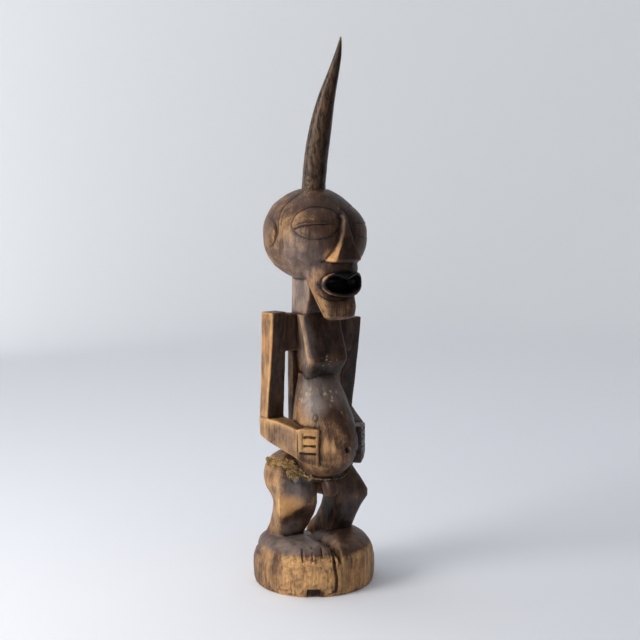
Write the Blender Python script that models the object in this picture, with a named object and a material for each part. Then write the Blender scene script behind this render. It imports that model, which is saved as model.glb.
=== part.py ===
"""A Songye power figure: a standing man with a full belly, carved with his round base from one log,
with an animal horn set in the crown and a fibre cord round the hips.

He faces -Y, +Z is up, and the origin is the centre of the underside. Sizes are named in
millimetres, as a carver would measure them, and at() turns them into Blender's metres."""

import math

import bmesh
import bpy
from mathutils import Matrix, Vector
from mathutils.bvhtree import BVHTree

MM = 0.001
FIT_GAP = 0.35

# The log and the base that is left of it
LOG_RADIUS = 63.6
BASE_TOP_Z = 33.5
BASE_CORNERS = 48

# Feet that follow the rim of the log, with four cuts for five toes. Both are turned to his right.
FEET_TURN = math.radians(-12)
FOOT_INNER_ANGLE = 2.0
FOOT_OUTER_ANGLE = 55.0
TOE_FIRST_ANGLE = 9.0
TOE_STEP_ANGLE = 8.8
TOE_GROOVES = 4
ANKLE = (-28.0, 9.0)

# A drying crack down the front of the log: height and angle to his right. Beside it, a chip.
CRACK_LINE = ((-1.0, 16.5), (6.0, 16.0), (16.0, 15.3), (26.0, 16.0), (34.0, 17.6), (43.0, 19.6))
CRACK_WIDTH = 1.8
CRACK_DEPTH = 9.0
CHIP_ANGLE = 37.0
CHIP_WIDTH = 17.0
CHIP_HEIGHT = 9.0
CHIP_DEPTH = 2.6

# Trunk
BELLY_FRONT_Y = -56.0
WAIST_Z = 216.0
BREAST_Z = 236.0
BREAST_FRONT_Y = -27.6
BREAST_HALF_WIDTH = 25.2
BACK_SLAB_FRONT_Y = 3.0
NAVEL = (0.0, -56.0, 148.0)

# Shoulders and arms
SHOULDER_MID_Z = 280.0
SHOULDER_SLOPE = -0.095
SHOULDER_HALF_SPAN = 58.0
ARMPIT_Z = 245.0
ELBOW_Z = 158.0
HAND_TOP_Z = 169.5
FINGER_STEP = 8.2
FINGER_GROOVES = 3

# Head: sections are squarish ovals, so that the eyes can wrap round the front corners
# Height, half width, half depth, how far its centre is back from the axis, and squareness
SKULL = (
    (316.0, 13.0, 12.5, -3.0, 2.5),
    (319.0, 22.0, 21.0, -3.2, 2.5),
    (324.0, 31.0, 29.8, -3.5, 2.5),
    (331.0, 39.4, 37.8, -3.7, 2.5),
    (340.0, 46.0, 44.0, -3.7, 2.5),
    (350.0, 49.7, 47.6, -3.7, 2.5),
    (359.0, 50.5, 48.6, -3.7, 2.5),
    (368.0, 49.8, 49.0, -1.4, 2.4),
    (376.5, 46.8, 49.4, 0.2, 2.3),
    (384.5, 41.5, 48.0, 1.2, 2.2),
    (392.0, 36.2, 43.6, 1.8, 2.2),
    (398.0, 30.0, 36.5, 1.8, 2.2),
    (403.5, 23.0, 27.5, 1.0, 2.2),
    (407.5, 15.5, 18.0, 0.2, 2.2),
    (409.8, 8.0, 9.0, -0.6, 2.2),
)
EYE_Z = 374.5
# The slit between the lids, from the outer corner inwards: angle and height
EYE_SLIT = ((63.0, 368.6), (52.0, 372.4), (41.0, 373.9), (28.0, 374.2), (9.5, 375.2))
NOSE_BOTTOM_Z = 336.5
MOUTH_Z = 314.9
MOUTH_HALF_WIDTH = 22.4
MOUTH_HALF_HEIGHT = 10.6
LIP_RIM = 2.4
LIP_FRONT_Y = -57.6
LIP_BEND = 7.2
CHIN_BOTTOM_Z = 278.5

# Horn: it stands in a shallow socket in the crown. Height, lean forwards and radius along it.
HORN_LINE = (
    (396.0, -0.6, 12.1),
    (412.0, 0.3, 12.1),
    (439.0, 3.9, 12.2),
    (468.0, 11.2, 11.3),
    (497.0, 20.4, 8.7),
    (518.0, 30.0, 6.1),
    (540.0, 39.6, 3.4),
    (556.0, 43.6, 0.8),
)
HORN_SIDES = 16

# Cord round the hips, from the back round his left side and the front: angle and height
CORD_RADIUS = 1.5
CORD_POINTS = 48
CORD_HEIGHTS = (
    (-180, 121.0),
    (-125, 121.0),
    (-92, 118.5),
    (-66, 112.5),
    (-40, 107.0),
    (0, 109.0),
    (40, 112.0),
    (62, 118.5),
    (82, 128.5),
    (94, 129.5),
    (112, 124.0),
    (145, 121.5),
    (180, 121.0),
)


def at(x, y, z):
    """A point given in millimetres, in metres."""
    return Vector((x, y, z)) * MM


def clear_scene():
    for thing in list(bpy.data.objects):
        bpy.data.objects.remove(thing)


def material(name, colour, roughness):
    made = bpy.data.materials.new(name)
    made.use_nodes = True
    shader = made.node_tree.nodes["Principled BSDF"]
    shader.inputs["Base Color"].default_value = (*colour, 1.0)
    shader.inputs["Roughness"].default_value = roughness
    shader.inputs["Metallic"].default_value = 0.0
    return made


def mesh_object(name, bm, collection=None):
    """Closes the bmesh into a new object. Forms for a union or a cut go in their own collection."""
    bmesh.ops.recalc_face_normals(bm, faces=bm.faces)
    mesh = bpy.data.meshes.new(name)
    bm.to_mesh(mesh)
    bm.free()
    made = bpy.data.objects.new(name, mesh)
    (collection or bpy.context.scene.collection).objects.link(made)
    if collection:
        made.hide_render = True
        made.display_type = "WIRE"
    return made


def helper_collection(name):
    made = bpy.data.collections.new(name)
    made.hide_render = True
    bpy.context.scene.collection.children.link(made)
    return made


def oval(half_width, half_depth, y, z, power=2.0, count=32):
    """A level superellipse, counter-clockwise from above: power 2 is an ellipse, more is squarer."""
    points = []
    for i in range(count):
        turn = 2 * math.pi * i / count
        c, s = math.cos(turn), math.sin(turn)
        across = math.copysign(abs(c) ** (2 / power), c)
        along = math.copysign(abs(s) ** (2 / power), s)
        points.append(at(half_width * across, y + half_depth * along, z))
    return points


def rounded(corners, radius, z, steps=3):
    """A level outline whose corners are drawn round, each with the same number of points."""
    points = []
    for i, corner in enumerate(corners):
        here = Vector(corner)
        before, after = Vector(corners[i - 1]) - here, Vector(corners[(i + 1) % len(corners)]) - here
        start = here + before.normalized() * min(radius, before.length * 0.45)
        end = here + after.normalized() * min(radius, after.length * 0.45)
        for k in range(steps):
            t = k / (steps - 1)
            point = start * (1 - t) ** 2 + here * 2 * t * (1 - t) + end * t**2
            points.append(at(point.x, point.y, z))
    return points


def loft(rings):
    """A closed skin over rings that all have the same number of points."""
    bm = bmesh.new()
    loops = [[bm.verts.new(p) for p in ring] for ring in rings]
    for low, high in zip(loops, loops[1:]):
        for i in range(len(low)):
            j = (i + 1) % len(low)
            bm.faces.new((low[i], low[j], high[j], high[i]))
    bm.faces.new(list(reversed(loops[0])))
    bm.faces.new(loops[-1])
    bmesh.ops.recalc_face_normals(bm, faces=bm.faces)
    return bm


def soften(bm, width, segments=2, least_angle=28.0):
    """Rounds every arris of a squared form, as a knife leaves it."""
    sharp = [
        e
        for e in bm.edges
        if len(e.link_faces) == 2 and e.calc_face_angle() > math.radians(least_angle)
    ]
    bmesh.ops.bevel(
        bm,
        geom=sharp,
        offset=width * MM,
        segments=segments,
        profile=0.5,
        affect="EDGES",
        clamp_overlap=True,
    )
    return bm


def ellipsoid(centre, radii, columns=24, rows=14):
    bm = bmesh.new()
    bmesh.ops.create_uvsphere(bm, u_segments=columns, v_segments=rows, radius=1.0)
    bmesh.ops.transform(
        bm,
        matrix=Matrix.Translation(at(*centre)) @ Matrix.Diagonal((*at(*radii), 1.0)),
        verts=bm.verts,
    )
    return bm


def both_sides(name, build, collection):
    """Adds the form that build(side) gives for the right side, -1, and the left side, 1."""
    for side, word in ((-1, "right"), (1, "left")):
        mesh_object(f"{name}_{word}", build(side), collection)


def sided(points, side):
    """Points written for the right side, moved to the side asked for."""
    return [at(-side * x, y, z) for x, y, z in points]


def tube(line, radii, sides):
    """A round rod along a line of points in metres, with a flat end at both ends."""
    rings = []
    for i, centre in enumerate(line):
        ahead = line[min(i + 1, len(line) - 1)] - line[max(i - 1, 0)]
        turn = ahead.normalized().to_track_quat("Z", "Y").to_matrix()
        ring = []
        for j in range(sides):
            angle = 2 * math.pi * j / sides
            ring.append(centre + turn @ Vector((math.cos(angle), math.sin(angle), 0)) * radii[i] * MM)
        rings.append(ring)
    return loft(rings)


def base():
    """The foot of the log: a drum that isn't quite round, with its edges worn off."""
    stations = (
        (0.0, -1.8),
        (3.0, -0.3),
        (15.0, 0.5),
        (26.0, 0.3),
        (31.0, -1.3),
        (BASE_TOP_Z, -5.0),
    )
    rings = []
    for z, inset in stations:
        ring = []
        for i in range(BASE_CORNERS):
            turn = 2 * math.pi * i / BASE_CORNERS
            uneven = 0.5 * math.sin(2 * turn + 0.6) + 0.4 * math.sin(3 * turn + 2.0)
            uneven += 0.8 * math.cos(turn + 0.66)
            reach = LOG_RADIUS + inset + uneven
            ring.append(at(reach * math.cos(turn), reach * math.sin(turn), z))
        rings.append(ring)
    return loft(rings)


FOOT_PROFILE = (
    (27.0, 1.0),
    (35.5, 1.0),
    (39.5, 0.975),
    (43.5, 0.92),
    (47.0, 0.82),
    (49.8, 0.66),
    (51.3, 0.44),
)


def foot_outline():
    """The right foot in plan: round the rim in front, then along the outer side, heel and inner side."""
    points = []
    steps = 8
    for i in range(steps + 1):
        turn = math.radians(FOOT_INNER_ANGLE + (FOOT_OUTER_ANGLE - FOOT_INNER_ANGLE) * i / steps)
        points.append((-LOG_RADIUS * math.sin(turn), -LOG_RADIUS * math.cos(turn)))
    points += [(-58, -16), (-59, 2), (-56, 18), (-49, 33), (-38, 43), (-24, 46), (-12, 38)]
    return points + [(-5, 20), (-2.5, -2), (-2.5, -32)]


def foot_point(x, y, share):
    """A point of the outline, drawn in towards the ankle."""
    ankle_x, ankle_y = ANKLE
    return ankle_x + (x - ankle_x) * share, ankle_y + (y - ankle_y) * share


def turned_with_feet(bm):
    bmesh.ops.rotate(bm, matrix=Matrix.Rotation(FEET_TURN, 3, "Z"), verts=bm.verts)
    return bm


def foot(side):
    """A mound that rises from the toes at the rim to the ankle."""
    rings = []
    for z, share in FOOT_PROFILE:
        ring = [(*foot_point(x, y, share), z) for x, y in foot_outline()]
        rings.append(sided(ring, side))
    return turned_with_feet(loft(rings))


def rim_point(angle, share):
    """Where a line out from the log's centre meets the foot's front, drawn in towards the ankle."""
    turn = math.radians(angle)
    out = Vector((-math.sin(turn), -math.cos(turn)))
    middle = Vector(ANKLE) * (1 - share)
    along = out.dot(middle)
    return out * (along + math.sqrt(along**2 - middle.length_squared + (LOG_RADIUS * share) ** 2))


def toe_groove(side, number):
    """The V between two toes: it comes down the slope of the foot and over the rim."""
    turn = math.radians(TOE_FIRST_ANGLE + TOE_STEP_ANGLE * number)
    away = Vector((-math.sin(turn), -math.cos(turn), 0))
    across = Vector((-away.y, away.x, 0)) * 1.7
    depths = ((32.5, 1.0, 0.0), (35.5, 1.0, 1.8), (39.5, 0.975, 2.4), (43.5, 0.92, 2.2))
    depths += ((46.2, 0.85, 1.2), (47.8, 0.785, 0.0))
    rings = []
    for i, (z, share, depth) in enumerate(depths):
        point = Vector((*rim_point(math.degrees(turn), share), z))
        lift = (away + Vector((0, 0, 0.25 * i))).normalized()
        top = point + lift * 1.5
        ring = [point - lift * depth * (1.0 if side < 0 else 0.7), top + across, top - across]
        rings.append(sided([tuple(p) for p in ring], side))
    return turned_with_feet(loft(rings))


def crack():
    """A drying crack that runs the full height of the log and tapers inwards."""
    rings = []
    for z, angle in CRACK_LINE:
        turn = math.radians(angle)
        out = Vector((-math.sin(turn), -math.cos(turn), 0))
        across = Vector((-out.y, out.x, 0)) * CRACK_WIDTH * 0.6
        foot, mouth = out * (LOG_RADIUS - CRACK_DEPTH), out * (LOG_RADIUS + 2.5)
        up = Vector((0, 0, z))
        rings.append([(p + up) * MM for p in (foot, mouth + across, mouth - across)])
    return loft(rings)


def chip():
    """A splinter broken from the bottom edge."""
    turn = math.radians(CHIP_ANGLE)
    out = Vector((-math.sin(turn), -math.cos(turn), 0))
    across = Vector((-out.y, out.x, 0)) * CHIP_WIDTH / 2
    rings = []
    for z, share in ((-1.0, 1.0), (CHIP_HEIGHT - 1.6, 0.92), (CHIP_HEIGHT, 0.8)):
        inside, outside = out * (LOG_RADIUS - CHIP_DEPTH * share), out * (LOG_RADIUS + 4.0)
        up = Vector((0, 0, z))
        ring = [inside + across * 0.85 * share, inside - across * 0.85 * share]
        ring += [outside - across * share, outside + across * share]
        rings.append([(p + up) * MM for p in ring])
    return loft(rings)


# Legs: outer back, outer front, inner front and inner back corners at each height
LEG_RIGHT = (
    (44.0, (-42, 32), (-42, -1.5), (-10.5, -4), (-11, 26)),
    (51.5, (-42, 31), (-42, -0.5), (-11.5, -2), (-12, 25)),
    (62.0, (-41.5, 24), (-44.5, -1.5), (-10.5, -9.5), (-12, 20)),
    (74.0, (-41, 19), (-49, -6.5), (-10, -18), (-13, 13)),
    (87.0, (-41, 16), (-54, -13.5), (-9.5, -23), (-14, 6)),
    (94.0, (-42.5, 18.5), (-54.5, -14), (-10, -23.5), (-13, 5)),
    (106.0, (-46.5, 24), (-51.5, -11), (-7.5, -20), (-8.5, 8)),
    (119.0, (-46, 26), (-47.5, -6), (-2, -17), (-2, 20)),
    (130.0, (-40, 22), (-43, -2), (0, -12), (0, 20)),
    (137.0, (-34, 19), (-38.5, 1), (0, -8), (0, 18)),
    (141.0, (-27, 16), (-30, 4), (0, -4), (0, 14)),
)
LEG_LEFT = (
    (44.0, (42, 22), (45.5, -12), (13, -14), (6, 24)),
    (51.5, (42.5, 21), (46, -12), (13, -14), (7.5, 23.5)),
    (62.0, (43, 18), (48.5, -15), (13.5, -17), (12.5, 15)),
    (74.0, (44, 14.5), (53.5, -18), (14, -21), (13.5, 8)),
    (84.0, (45, 12.5), (59.5, -21.5), (14, -25), (14.5, 5)),
    (91.0, (46, 14), (59.5, -21.5), (14, -25.5), (14.5, 4)),
    (104.0, (46, 20), (52.5, -18), (9, -24), (11, 7)),
    (117.0, (43.5, 23), (46, -11.5), (4, -19), (2, 20)),
    (128.0, (39, 22), (40.5, -4), (0, -12), (0, 20)),
    (135.0, (34, 19), (36, 0), (0, -8), (0, 18)),
    (140.0, (27, 16), (29, 4), (0, -4), (0, 14)),
)


def leg(side):
    """Thigh, bent knee and shin, squared and turned out."""
    sections = LEG_RIGHT if side < 0 else LEG_LEFT
    return loft([rounded(corners, 5.5, z) for z, *corners in sections])


def buttock(side):
    return ellipsoid((side * 23.5, 12.0, 112.0), (25.0, 28.0, 28.0), 16, 8)


def pelvis():
    """What joins the legs between crotch and belly."""
    stations = ((105.5, 13, 12), (107.5, 19, 19), (113.0, 25, 26), (122.0, 28, 27), (130.0, 26, 24))
    return loft([oval(w, d, -1.0, z, 2.8, 20) for z, w, d in stations])


def penis():
    """A short peg under the belly."""
    stations = (
        (94.5, 4.0, 4.5, -29.5),
        (96.5, 6.3, 6.8, -29.5),
        (102.0, 7.0, 8.0, -28.5),
        (108.0, 6.5, 7.6, -26.5),
        (116.0, 5.5, 7.0, -22.0),
    )
    return loft([oval(w, d, y, z, 2.5, 12) for z, w, d, y in stations])


def belly():
    """The full belly, drawn in to a wide shallow waist under the breast."""
    stations = (
        (114.5, 13, 14, -14.0),
        (117.0, 17.5, 18.5, -16.5),
        (121.0, 21, 23, -18.5),
        (127.0, 25.5, 27.5, -20.5),
        (135.0, 29.5, 31, -21.5),
        (148.0, 31.5, 34, BELLY_FRONT_Y + 34),
        (162.0, 31.5, 33, -20.0),
        (174.0, 30.5, 31, -17.0),
        (186.0, 28.5, 28, -14.0),
        (197.0, 26, 24.5, -11.8),
        (207.0, 24, 19.8, -9.8),
        (WAIST_Z, 22.6, 14.5, -8.0),
        (221.0, 22.0, 12.5, -6.5),
    )
    return loft([oval(w, d, y, z, 2.15, 26) for z, w, d, y in stations])


def chest():
    """A squared breast that slopes out to the nipples, with cut corners, and is cut back underneath."""
    front, side = BREAST_FRONT_Y, BREAST_HALF_WIDTH
    stations = (
        (213.0, 19.0, -14.0),
        (219.5, 22.0, -19.5),
        (BREAST_Z - 2.5, side - 0.4, front - 0.2),
        (BREAST_Z + 1.5, side, front),
        (255.0, side + 0.2, -21.8),
        (275.0, side + 0.5, -15.4),
        (281.5, side + 0.3, -13.6),
    )
    rings = []
    for z, half, face in stations:
        right = [(-half + 6.0, 5.0), (-half, face + 3.2), (-half + 3.0, face)]
        left = [(-x, y) for x, y in reversed(right)]
        rings.append(rounded(right + left, 0.8, z, 2))
    return loft(rings)


def back_slab():
    """The flat back, cut straight down from the shoulders to the seat."""
    front = BACK_SLAB_FRONT_Y
    stations = ((112.0, 19.0, 19.0), (140.0, 22.0, 16.0), (180.0, 24.5, 13.6), (281.0, 25.5, 13.0))
    rings = []
    for z, half, back in stations:
        corners = [(half - 1.5, back), (-half + 1.5, back), (-half, front), (half, front)]
        rings.append(rounded(corners, 1.6, z, 3))
    return loft(rings)


def shoulder_top(x):
    """His left shoulder sits lower than his right."""
    return SHOULDER_MID_Z + SHOULDER_SLOPE * x


def shoulders():
    """The bar between the two arms, flush with their fronts."""
    rings = []
    for x, front, back, under in (
        (-46.0, -7.0, 11.5, ARMPIT_Z + 1),
        (-24.0, -3.0, 12.6, ARMPIT_Z),
        (24.0, -3.0, 12.6, ARMPIT_Z - 4),
        (46.0, -7.0, 11.5, ARMPIT_Z - 5),
    ):
        top = shoulder_top(x)
        rings.append([at(x, front, under), at(x, back, under), at(x, back, top), at(x, front, top)])
    return soften(loft(rings), 1.2)


def upper_arm(side):
    """A squared post from the shoulder to the elbow, that slopes backwards and widens downwards."""
    top = shoulder_top(side * SHOULDER_HALF_SPAN)
    stations = (
        (ELBOW_Z + 4.0, 55.8, 34.0, 5.5, 17.5),
        (177.0, 56.3, 34.2, 4.0, 17.0),
        (210.0, 57.0, 36.6, -0.8, 14.8),
        (ARMPIT_Z, 57.6, 39.0, -5.6, 12.4),
        (top, SHOULDER_HALF_SPAN, 39.5, -8.8, 11.0),
    )
    rings = []
    for z, outer, inner, front, back in stations:
        corners = [(outer, back), (inner, back), (inner, front), (outer, front)]
        ring = rounded([(-x, y) for x, y in corners], 1.8, z)
        rings.append([Vector((-side * p.x, p.y, p.z)) for p in ring])
    return soften(loft(rings), 0.9, 1, 60.0)


def hand_drop(side):
    """His left hand lies lower than his right."""
    return 3.5 if side > 0 else 0.0


def forearm(side):
    """From the elbow forwards and in to the wrist, level on top and rising underneath to the back."""
    drop = hand_drop(side)
    stations = (
        ((-55.5, 18.0), (-35.0, 18.0), 176.5, 161.0),
        ((-57.2, 15.5), (-34.5, 13.0), 177.0, 158.0),
        ((-56.8, 3.5), (-33.0, 5.0), 176.6, 153.5),
        ((-53.0, -6.5), (-32.0, 0.0), 175.5 - 0.7 * drop, 149.0),
        ((-44.0, -31.5), (-22.0, -19.0), 169.2 - drop, 139.2 - drop),
    )
    rings = [
        sided([(*outer, low), (*outer, high), (*inner, high), (*inner, low)], side)
        for outer, inner, high, low in stations
    ]
    return soften(loft(rings), 1.6)


def hand(side):
    """The hand laid flat on the side of the belly."""
    drop = hand_drop(side)
    stations = (
        ((-43.6, -30.5), (-21.0, -18.0), HAND_TOP_Z - 0.3, 139.6),
        ((-43.3, -32.8), (-20.0, -24.0), HAND_TOP_Z + 0.6, 138.0),
        ((-36.0, -39.5), (-16.0, -29.0), HAND_TOP_Z + 0.4, 134.0),
        ((-28.0, -45.0), (-14.0, -33.0), HAND_TOP_Z - 0.4, 130.5),
    )
    rings = []
    for outer, inner, high, low in stations:
        top, bottom = high - drop, low - drop
        rings.append(sided([(*outer, bottom), (*outer, top), (*inner, top), (*inner, bottom)], side))
    return soften(loft(rings), 2.2)


def finger_groove(side, number):
    """The V between two fingers, level across the outside of the hand."""
    z = HAND_TOP_Z - hand_drop(side) - FINGER_STEP * (number + 1)
    rings = []
    for x, y in ((-40.0, -36.0), (-26.5, -46.2)):
        out_x, out_y = -0.6, -0.8
        ring = [(x - out_x * 1.3, y - out_y * 1.3, z)]
        ring += [(x + out_x * 1.5, y + out_y * 1.5, z + up) for up in (1.5, -1.5)]
        rings.append(sided(ring, side))
    return loft(rings)


def neck():
    stations = ((270.0, 19.6, -11.0), (284.0, 19.2, -13.5), (300.0, 18.8, -17.5), (322.0, 18.4, -18.0))
    rings = []
    for z, half, front in (*stations, (340.0, 18.4, -18.0)):
        corners = [(half, 14.0), (-half, 14.0), (-half, front), (half, front)]
        rings.append(rounded(corners, 5.0, z, 3))
    return loft(rings)


def skull_section(z):
    """Half width, half depth, centre and squareness of the skull at height z."""
    for low, high in zip(SKULL, SKULL[1:]):
        if z <= high[0]:
            break
    t = min(max((z - low[0]) / (high[0] - low[0]), 0.0), 1.0)
    return [a + (b - a) * t for a, b in zip(low[1:], high[1:])]


def skull_point(angle, z, raised=0.0):
    """A point of the skull at an angle from straight ahead, positive to his right."""
    width, depth, centre, power = skull_section(z)
    turn = math.radians(angle)
    s, c = math.sin(turn), math.cos(turn)
    reach = ((abs(s) / width) ** power + (abs(c) / depth) ** power) ** (-1 / power) + raised
    return at(-reach * s, centre - reach * c, z)


def skull():
    return loft([oval(width, depth, y, z, power, 32) for z, width, depth, y, power in SKULL])


def patch(angles, heights, raise_of, columns, rows):
    """A raised patch of the skull: heights(u) gives its lowest and highest z at share u of its length."""
    bm = bmesh.new()
    skins = []
    for outside in (True, False):
        grid = []
        for i in range(columns + 1):
            u = i / columns
            low, high = heights(u)
            column = []
            for j in range(rows + 1):
                v = j / rows
                raised = raise_of(u, v) if outside else -5.0
                angle = angles[0] + (angles[1] - angles[0]) * u
                column.append(bm.verts.new(skull_point(angle, low + (high - low) * v, raised)))
            grid.append(column)
        skins.append(grid)
    outer, inner = skins
    for i in range(columns):
        for j in range(rows):
            bm.faces.new((outer[i][j], outer[i + 1][j], outer[i + 1][j + 1], outer[i][j + 1]))
            bm.faces.new((inner[i][j], inner[i][j + 1], inner[i + 1][j + 1], inner[i + 1][j]))
    rim = [(i, 0) for i in range(columns)] + [(columns, j) for j in range(rows)]
    rim += [(i, rows) for i in range(columns, 0, -1)] + [(0, j) for j in range(rows, 0, -1)]
    for (i, j), (k, m) in zip(rim, rim[1:] + rim[:1]):
        bm.faces.new((outer[i][j], inner[i][j], inner[k][m], outer[k][m]))
    return bm


def eye(side):
    """A large almond on the corner of the face, higher above the line of the lids than below it."""

    def heights(u):
        middle = EYE_Z - 3.5 * u
        above = 17.0 * math.sqrt(max(4 * u * (1 - u), 0.01))
        below = 13.5 * max(math.sin(math.pi * u), 0.04)
        return middle - below, middle + above

    def raise_of(u, v):
        return 0.3 + 1.3 * math.sin(math.pi * v) ** 0.7 * math.sin(math.pi * u) ** 0.5

    return patch((-side * 3.0, -side * 66.0), heights, raise_of, 9, 5)


def eye_slit(side):
    """The V between the lids."""
    rings = []
    for angle, z in EYE_SLIT:
        here, out = skull_point(angle, z, 1.6), skull_point(angle, z, 2.6)
        foot, mouth = here + (here - out) * 1.1, out
        rings.append([foot, mouth + at(0, 0, 1.3), mouth - at(0, 0, 1.3)])
    rings = [[Vector((-side * p.x, p.y, p.z)) for p in ring] for ring in rings]
    return loft(rings)


def ear(side):
    """A low C that bows forwards and runs out into the back of the head."""

    def heights(u):
        reach = 1.5 + 13.5 * math.sqrt(max(0.0, 1 - (1 - u) ** 2))
        return 365.5 - reach, 365.5 + reach

    def raise_of(u, v):
        return 0.3 + 2.5 * (1 - u) ** 0.7 * max(0.0, math.sin(math.pi * v)) ** 0.35

    return patch((-side * 86.0, -side * 113.0), heights, raise_of, 6, 5)


def nose():
    """A wedge, narrow between the eyes and broad and flat at its foot: wings, then front edges."""
    sections = (
        (NOSE_BOTTOM_Z, (17.6, -44.5), (14.0, -54.6)),
        (NOSE_BOTTOM_Z + 2, (19.4, -47.0), (16.2, -58.6)),
        (346.0, (15.4, -48.6), (13.0, -58.2)),
        (356.0, (9.6, -49.6), (7.8, -57.5)),
        (367.0, (5.2, -50.0), (3.8, -56.3)),
        (377.0, (3.2, -50.0), (1.7, -55.0)),
        (383.0, (2.4, -48.8), (1.1, -52.4)),
        (386.8, (2.2, -43.0), (1.0, -46.2)),
    )
    rings = []
    for z, (wing_x, wing_y), (front_x, front_y) in sections:
        half = [(wing_x + 1.0, -33.0), (wing_x, wing_y), (front_x, front_y)]
        ring = half + [(-x, y) for x, y in reversed(half)]
        rings.append([at(x, y, z) for x, y in ring])
    return soften(loft(rings), 0.7, 1)


def face():
    """The lower face: it comes out of the skull and narrows to a squared chin clear of the neck."""
    stations = (
        (CHIN_BOTTOM_Z, 13.5, -46.5, -38.0, 2.8),
        (281.5, 17.5, -50.0, -36.0, 3.2),
        (290.0, 19.8, -50.5, -31.0, 3.4),
        (297.5, 21.8, -48.0, -26.5, 3.4),
        (302.5, 22.8, -45.5, -24.0, 3.2),
        (309.0, 24.6, -46.5, -20.0, 3.0),
        (315.0, 26.2, -47.5, -15.5, 2.7),
        (321.0, 27.6, -48.5, -10.5, 2.5),
        (328.0, 30.0, -49.6, -6.0, 2.45),
        (335.0, 29.5, -49.4, -2.0, 2.35),
        (343.0, 26.0, -47.4, 3.0, 2.2),
        (352.0, 22.0, -44.0, 3.0, 2.1),
    )
    return loft(
        [oval(w, (back - front) / 2, (back + front) / 2, z, p, 22) for z, w, front, back, p in stations]
    )


def muzzle():
    return ellipsoid((0.0, -33.5, MOUTH_Z + 0.5), (26.0, 19.5, 15.5), 18, 9)


def mouth_outline(grow, y, shrink=1.0):
    """The shape of the open mouth: two round hollows side by side, bent round the muzzle."""
    points = []
    count = 24
    for i in range(count):
        turn = 2 * math.pi * i / count
        c, s = math.cos(turn), math.sin(turn)
        x = (MOUTH_HALF_WIDTH + grow) * shrink * math.copysign(abs(c) ** 0.85, c)
        z = (MOUTH_HALF_HEIGHT + grow) * shrink * math.copysign(abs(s) ** 0.85, s)
        if s > 0:
            z += 0.8 - 6.6 * shrink * math.exp(-((x / 9.5) ** 2))
        points.append(at(x, y + LIP_BEND * (x / MOUTH_HALF_WIDTH) ** 2, MOUTH_Z + z))
    return points


def lips():
    """The rim that stands out round the open mouth."""
    rings = [
        mouth_outline(LIP_RIM + grow, y)
        for grow, y in ((-6.0, -36.0), (-1.8, -50.0), (0.0, LIP_FRONT_Y + 2.4), (-0.8, LIP_FRONT_Y))
    ]
    return loft(rings)


def mouth_opening():
    front = LIP_FRONT_Y - 20.0
    return loft([mouth_outline(0.0, front), mouth_outline(-0.6, -49.0), mouth_outline(-1.5, -39.0, 0.8)])


def navel():
    return ellipsoid(NAVEL, (3.2, 3.0, 3.2), 10, 6)


def eased(line, share):
    """A smooth way through a list of number rows, from share 0 to 1."""
    place = share * (len(line) - 1)
    i = min(int(place), len(line) - 2)
    t = place - i
    before, here = line[max(i - 1, 0)], line[i]
    there, after = line[i + 1], line[min(i + 2, len(line) - 1)]
    row = []
    for a, b, c, d in zip(before, here, there, after):
        row.append(b + t * (c - a + t * (2 * a - 5 * b + 4 * c - d + t * (3 * b - a - 3 * c + d))) / 2)
    return row


def horn_rod(shares, extra=0.0):
    rows = [eased(HORN_LINE, share) for share in shares]
    line = [at(0.0, -1.0 - lean, z) for z, lean, _ in rows]
    return tube(line, [max(radius, 0.5) + extra for *_, radius in rows], HORN_SIDES)


def horn_socket():
    """The hole in the crown, a little wider and deeper than the horn's root."""
    bm = horn_rod((0.0, 0.08, 0.18, 0.3), FIT_GAP)
    lowest = min(v.co.z for v in bm.verts)
    for vert in bm.verts:
        if vert.co.z < lowest + MM:
            vert.co.z -= FIT_GAP * MM
    return bm


def horn(finish):
    made = mesh_object("horn", horn_rod([i / 14 for i in range(15)]))
    made.data.materials.append(finish)
    made.data.shade_smooth()
    made.data.set_sharp_from_angle(angle=math.radians(50))
    return made


def figure(finish):
    """One carving: the base takes every other form by union, and then the cuts."""
    forms, cuts = helper_collection("figure_forms"), helper_collection("figure_cuts")
    single = {
        "pelvis": pelvis,
        "penis": penis,
        "belly": belly,
        "chest": chest,
        "back_slab": back_slab,
        "shoulders": shoulders,
        "neck": neck,
        "skull": skull,
        "nose": nose,
        "face": face,
        "muzzle": muzzle,
        "lips": lips,
    }
    paired = {
        "foot": foot,
        "leg": leg,
        "buttock": buttock,
        "upper_arm": upper_arm,
        "forearm": forearm,
        "hand": hand,
        "eye": eye,
        "ear": ear,
    }
    for name, build in single.items():
        mesh_object(name, build(), forms)
    for name, build in paired.items():
        both_sides(name, build, forms)
    mesh_object("mouth_opening", mouth_opening(), cuts)
    mesh_object("navel", navel(), cuts)
    mesh_object("horn_socket", horn_socket(), cuts)
    mesh_object("crack", crack(), cuts)
    mesh_object("chip", chip(), cuts)
    both_sides("eye_slit", eye_slit, cuts)
    for number in range(FINGER_GROOVES):
        both_sides(f"finger_groove_{number}", lambda side, n=number: finger_groove(side, n), cuts)
    for number in range(TOE_GROOVES):
        both_sides(f"toe_groove_{number}", lambda side, n=number: toe_groove(side, n), cuts)

    made = mesh_object("figure", base())
    made.data.materials.append(finish)
    for name, operation, operands in (("forms", "UNION", forms), ("cuts", "DIFFERENCE", cuts)):
        modifier = made.modifiers.new(name, "BOOLEAN")
        modifier.operation = operation
        modifier.operand_type = "COLLECTION"
        modifier.collection = operands
        modifier.solver = "EXACT"
    return made


def cord_height(angle):
    """The height of the cord at an angle from straight ahead, positive to his right."""
    degrees = (math.degrees(angle) + 180) % 360 - 180
    for (start, low), (end, high) in zip(CORD_HEIGHTS, CORD_HEIGHTS[1:]):
        if degrees <= end:
            t = (degrees - start) / (end - start)
            return low + (high - low) * (3 - 2 * t) * t * t
    return CORD_HEIGHTS[-1][1]


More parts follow.
